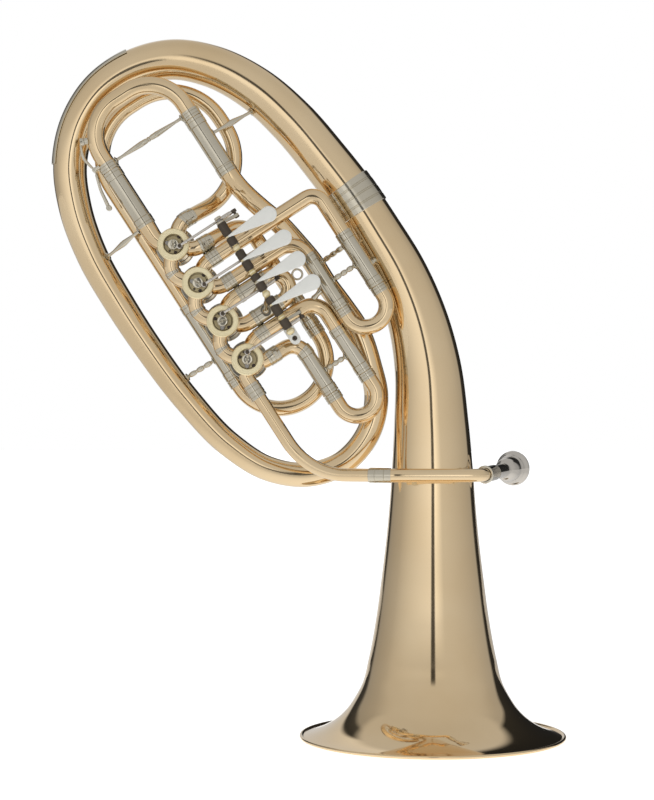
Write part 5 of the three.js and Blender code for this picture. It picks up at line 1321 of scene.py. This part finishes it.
# %% Lever rack
FLOOR = PORT - 6.65 - 0.3
PLATE_TOP = FLOOR - 3.1
axle_rows = bevelled(101.3, 1.6, 0.4, bore=0)
rack = [turned("axle", on_axle(3.2), on_axle(105.2), axle_rows, [steel], 24)]
end_rows = [(-0.6, 0), (-0.6, 2.2), (-0.3, 2.6), (1.2, 2.6), (1.5, 2.2), (1.5, 1.7)]
rack.append(turned("axle_end", on_axle(3.0), on_axle(7), end_rows, [nickel], 32))
for start, end in ((26.9, 31.9), (48.9, 52.9), (67.3, 72.9), (88.9, 92.6)):
    rack.append(ball(start, end))
rack += [drum(92.9, 100.4), ball(100.8, 105.4, 3.3)]
POSTS = [(29.4, 23.5, AXLE_V, 7), (70.1, 79.1, 31.5, 7), (103.4, 103.4, AXLE_V, 9)]
for head, foot, across, width in POSTS:
    top, base = on_axle(head), bank(foot, across, FLOOR - 1.2)
    reach = float(np.linalg.norm(top - base))
    rows = [(2.2, 0), (2.2, 1.7), (3.4, 1.5), (reach * 0.4, 1.3), (reach * 0.5, 1.9),
            (reach * 0.56, 1.9), (reach * 0.66, 1.3), (reach - 2.2, 1.6), (reach - 1.2, 2.3),
            (reach - 0.4, 2.5), (reach, 2.5), (reach, 0)]
    rack.append(turned("post", top, base, rows, [nickel], 28))
    half = width / 2 - 2.5
    shape = capsule((foot - half, across), (foot + half, across), 3.6, 3.6)
    rack.append(plate_outline("foot", shape, FLOOR - 1.5, FLOOR, [nickel]))
shape = capsule((99.5, AXLE_V), (109.2, AXLE_V), 4.2, 4.0, 20)
rack.append(plate_outline("end_plate", shape, PLATE_TOP, FLOOR - 1.5, [plate]))
rack.append(slotted("rack_screw", bank(108.4, AXLE_V, 0), 1.9, PLATE_TOP, 0.9, 1.9, gunmetal))
settled(merged("v_lever_rack", rack), "horn")
print("pieces of the rack:", len(rack))

# %% [markdown]
# Turned braces hold the tubes apart. The long ones are slim balusters whose halves swell towards a
# ring in the middle. The short ones carry three balls. All end in small flanges that are soldered
# to the tubes.

# %% Outlines of the braces
FLANGE = [(0, 3.0), (0.5, 3.1), (0.9, 2.2)]


def baluster(length):
    """Outline of a slim brace: flange, thin neck, swelling, ring, and the same mirrored."""
    swelling = ((0.1, 1.1), (0.28, 1.9), (0.38, 2.25), (0.46, 2.0), (0.482, 1.5), (0.49, 1.9))
    return mirrored(FLANGE + [(1.5, 1.25)] + [(s * length, r) for s, r in swelling], length)


def slim(length):
    """Outline of a middle brace: flange, neck and one long swelling."""
    swelling = ((0.2, 1.2), (0.38, 1.95), (0.46, 2.3))
    return mirrored(FLANGE + [(1.6, 1.2)] + [(s * length, r) for s, r in swelling], length)


def beaded(length, count=3):
    """Outline of a short brace: flanges, then turned balls with fine necks between them."""
    pitch = (length - 3.6) / count
    balls = [(1.8 + (k + 0.5 + 0.46 * math.sin(t)) * pitch, 0.95 + 1.15 * math.cos(t))
             for k in range(count) for t in np.linspace(-1.2, 1.2, 9)]
    return mirrored(FLANGE + [(1.6, 1.2)], length, balls)


def waisted(length):
    """Outline of the shortest brace: a plain pin, narrower in the middle."""
    return mirrored([(0, 2.2), (0.4, 2.4)], length, [(length / 2, 1.7)])


print("rows of a beaded outline:", len(beaded(20)))

# %% [markdown]
# A brace stands between two tubes, so it is given by a point on each centre line and the tubes'
# radii. Its ends are sunk a little into the walls, as solder would fill them. Where a tube belongs
# to the oval, the point and the radius come from the oval's own places.

# %% Braces
SUNK = 0.35


def on_oval(station):
    """A point of the oval between two of its places, and the tube's radius there."""
    low, share = int(station), station - int(station)
    return oval_places[low] * (1 - share) + oval_places[low + 1] * share, OVAL_RADII[low]


def brace(name, start, r_start, end, r_end, outline, body="horn"):
    """A brace between the centre lines of two tubes, from one tube's wall to the other's."""
    heading = unit(end - start)
    a, b = start + heading * (r_start - SUNK), end - heading * (r_end - SUNK)
    length = float(np.linalg.norm(b - a))
    rows = [(0, 0)] + outline(length) + [(length, 0)]
    settled(turned("v_" + name, a, b, rows, [nickel]), body)


brace("main_slide_brace", bank(-78.5, MAIN_LEFT), MAIN_COLLAR,
      bank(-78.5, MAIN_RIGHT), MAIN_COLLAR, baluster, "main_slide")
brace("main_bow_brace", bank(-56.7, MAIN_RIGHT), MAIN_SLEEVE, *on_oval(8.6), slim)
brace("main_side_brace", bank(-25, MAIN_LEFT), MAIN_COLLAR, *on_oval(17.2), slim)
brace("fourth_side_brace", bank(88.5, LEGS[4][0], LEG_DEPTH[4]), SLEEVE, *on_oval(19.7), beaded)
brace("third_bell_brace", bank(93, LEGS[3][0]), SLEEVE, *on_oval(4.6), beaded)
brace("inner_third_brace", bank(69.5, 82, -1.6), 8.5, bank(69.5, LEGS[3][0]), SLEEVE, beaded)
high, low = (bank(86.5, leg) for leg in LEGS[3])
brace("third_slide_brace", low, SLEEVE, high, SLEEVE, beaded)
brace("first_third_brace", bank(92, 61.5, LEG_DEPTH[1]), TUBE, low, SLEEVE, waisted)
high, low = (bank(140.5, leg, LEG_DEPTH[1]) for leg in LEGS[1])
brace("first_slide_brace", low, SLEEVE, high, SLEEVE, beaded)
brace("leadpipe_brace", np.array([BELL_X - 2, FRONT, lead_level]), 5.0,
      np.array([BELL_X - 2, 0, lead_level]), 31.6, slim)
print("braces made")

# %% [markdown]
# The camera stands level with the middle of the horn, 1.6 m in front of it, with a long lens. The
# picture is taken in a white tent. What shapes the metal is what is missing from the tent: the
# dark gap the lens looks through, and the dark studio past both edges of the backdrop.

# %% Camera
SENSOR, DISTANCE = 36, 1.6
camera_data = bpy.data.cameras.new("camera")
camera_data.sensor_fit = "VERTICAL"
camera_data.sensor_height = SENSOR
camera_data.lens = SENSOR * 2.5975
camera_data.dof.use_dof = False
camera_data.clip_start, camera_data.clip_end = 0.05, 20
camera = bpy.data.objects.new("camera", camera_data)
camera.location = ((BELL_X - 81.2) * MM, -DISTANCE, 0.2595)
camera.rotation_euler = (math.radians(90), 0, 0)
bpy.context.collection.objects.link(camera)
scene = bpy.context.scene
scene.camera = camera
scene.view_settings.view_transform = "Standard"
scene.view_settings.look = "None"
print("lens in mm:", round(camera_data.lens, 2))

# %% [markdown]
# The tent is the world itself, seen only in the metal: bright beside the lens, dimmer to the sides
# and overhead, dark where the studio shows past the edges of the backdrop. Its few steps were set
# until the bell mirrored them as in the photograph. Seen directly it is white.

# %% The tent
TENT = [
    (-180, 0.85), (-157, 0.8), (-153, 0.04), (-141, 0.06), (-134, 0.34), (-90, 0.47), (-20, 0.95),
    (-7, 1.05), (4, 1.3), (22, 0.7), (121, 0.42), (128, 0.03), (170, 0.02), (178, 0.7),
]
world = bpy.data.worlds.new("tent")
world.use_nodes = True
sky = world.node_tree
place = add_node(sky, "TexCoord").outputs["Generated"]
x, y, z = add_node(sky, "SeparateXYZ", {0: place}).outputs


def reckoned(operation, *values):
    """One math node; numbers are set on it and sockets are linked to it."""
    return add_node(sky, "Math", enumerate(values), operation=operation).outputs[0]


def ease(value, low, high, first, last):
    """Map a range to another with soft ends."""
    inputs = {"Value": value, "From Min": low, "From Max": high, "To Min": first, "To Max": last}
    return add_node(sky, "MapRange", inputs, interpolation_type="SMOOTHSTEP").outputs[0]


azimuth = reckoned("ARCTAN2", x, reckoned("MULTIPLY", y, -1.0))
turn_share = reckoned("MULTIPLY_ADD", azimuth, 0.5 / math.pi, 0.5)
ramp = add_node(sky, "ValToRGB", {0: turn_share})
stops = ramp.color_ramp.elements
positions = [(degrees + 180) / 360 for degrees, _ in TENT]
stops[0].position, stops[1].position = positions[0], positions[-1]
for position in positions[1:-1]:
    stops.new(position)
for stop, (_, value) in zip(stops, TENT):
    stop.color = (value, value, value, 1)
print("tent stops:", len(stops))

# %% [markdown]
# Well above or below the horn, and overhead, the tent is plain cloth without those steps. The lens
# looks in through a narrow upright gap, which is the dark line down the middle of the bell.

# %% The tent's cloth and the gap for the lens
height = reckoned("ABSOLUTE", z)
roof = ease(z, 0.62, 0.74, 0.0, 1.0)
sloping = reckoned("MULTIPLY", ease(height, 0.06, 0.32, 0.0, 1.0), ease(y, -0.3, 0.3, 1.0, 0.0))
cloth = add_node(sky, "Mix", {
    "Factor": reckoned("MAXIMUM", roof, sloping), "A": ramp.outputs["Color"],
    "B": ease(y, -0.95, 0.0, 0.62, 0.56)}).outputs["Result"]
behind = ease(y, 0.6, 0.98, 1.0, 0.75)
off = reckoned("ABSOLUTE", reckoned("ADD", azimuth, math.radians(1.8)))
narrow = ease(off, math.radians(2.4), math.radians(5.4), 1.0, 0.0)
gap = reckoned("MULTIPLY", narrow, ease(height, 0.28, 0.44, 1.0, 0.0))
kept = reckoned("MULTIPLY_ADD", gap, -0.9, 1.0)
glow = reckoned("MULTIPLY", reckoned("MULTIPLY", cloth, behind), kept)
seen = add_node(sky, "LightPath").outputs["Is Camera Ray"]
strength = add_node(sky, "Mix", {"Factor": seen, "A": glow, "B": 1.0}).outputs["Result"]
feed(sky, sky.nodes["Background"], {"Color": (1, 1, 1, 1), "Strength": strength})
scene.world = world
print("nodes of the tent:", len(sky.nodes))

# %% [markdown]
# The table is white, lit and glowing as well: evenly white where the camera sees it, and in the
# metal's mirror images a painted glow that fades with distance from the bell. Only a breath of shade
# and a faint mirror image are left under the rim.

# %% Table
table_material = bpy.data.materials.new("table_top")
table_material.use_nodes = True
tree = table_material.node_tree
place = add_node(tree, "TexCoord").outputs["Object"]
# Painted glow: reflected rays see the table glow brighter near the bell, the camera sees it evenly
# white.
from_bell = add_node(tree, "VectorMath", {0: place, 1: (BELL_X * MM, 0, 0)}, operation="DISTANCE")
fading = add_node(tree, "MapRange", {
    "Value": from_bell.outputs["Value"], "From Min": 0.1, "From Max": 0.6,
    "To Min": 0.6, "To Max": 0.2})
seen = add_node(tree, "LightPath").outputs["Is Camera Ray"]
lit = add_node(tree, "Mix", {"Factor": seen, "A": fading.outputs["Result"], "B": 0.78})
feed(tree, tree.nodes["Principled BSDF"], {
    "Base Color": (0.9, 0.9, 0.9, 1), "Roughness": 0.25, "Specular IOR Level": 0.3,
    "Emission Color": (1, 1, 1, 1), "Emission Strength": lit.outputs["Result"]})
mesh = bpy.data.meshes.new("table_top")
corners = [(-6, -3), (6, -3), (6, 9), (-6, 9)]
mesh.from_pydata([(x, y, -0.0003) for x, y in corners], [], [(0, 1, 2, 3)])
mesh.materials.append(table_material)
table = bpy.data.objects.new("table_top", mesh)
bpy.context.collection.objects.link(table)
print("table corners:", corners)
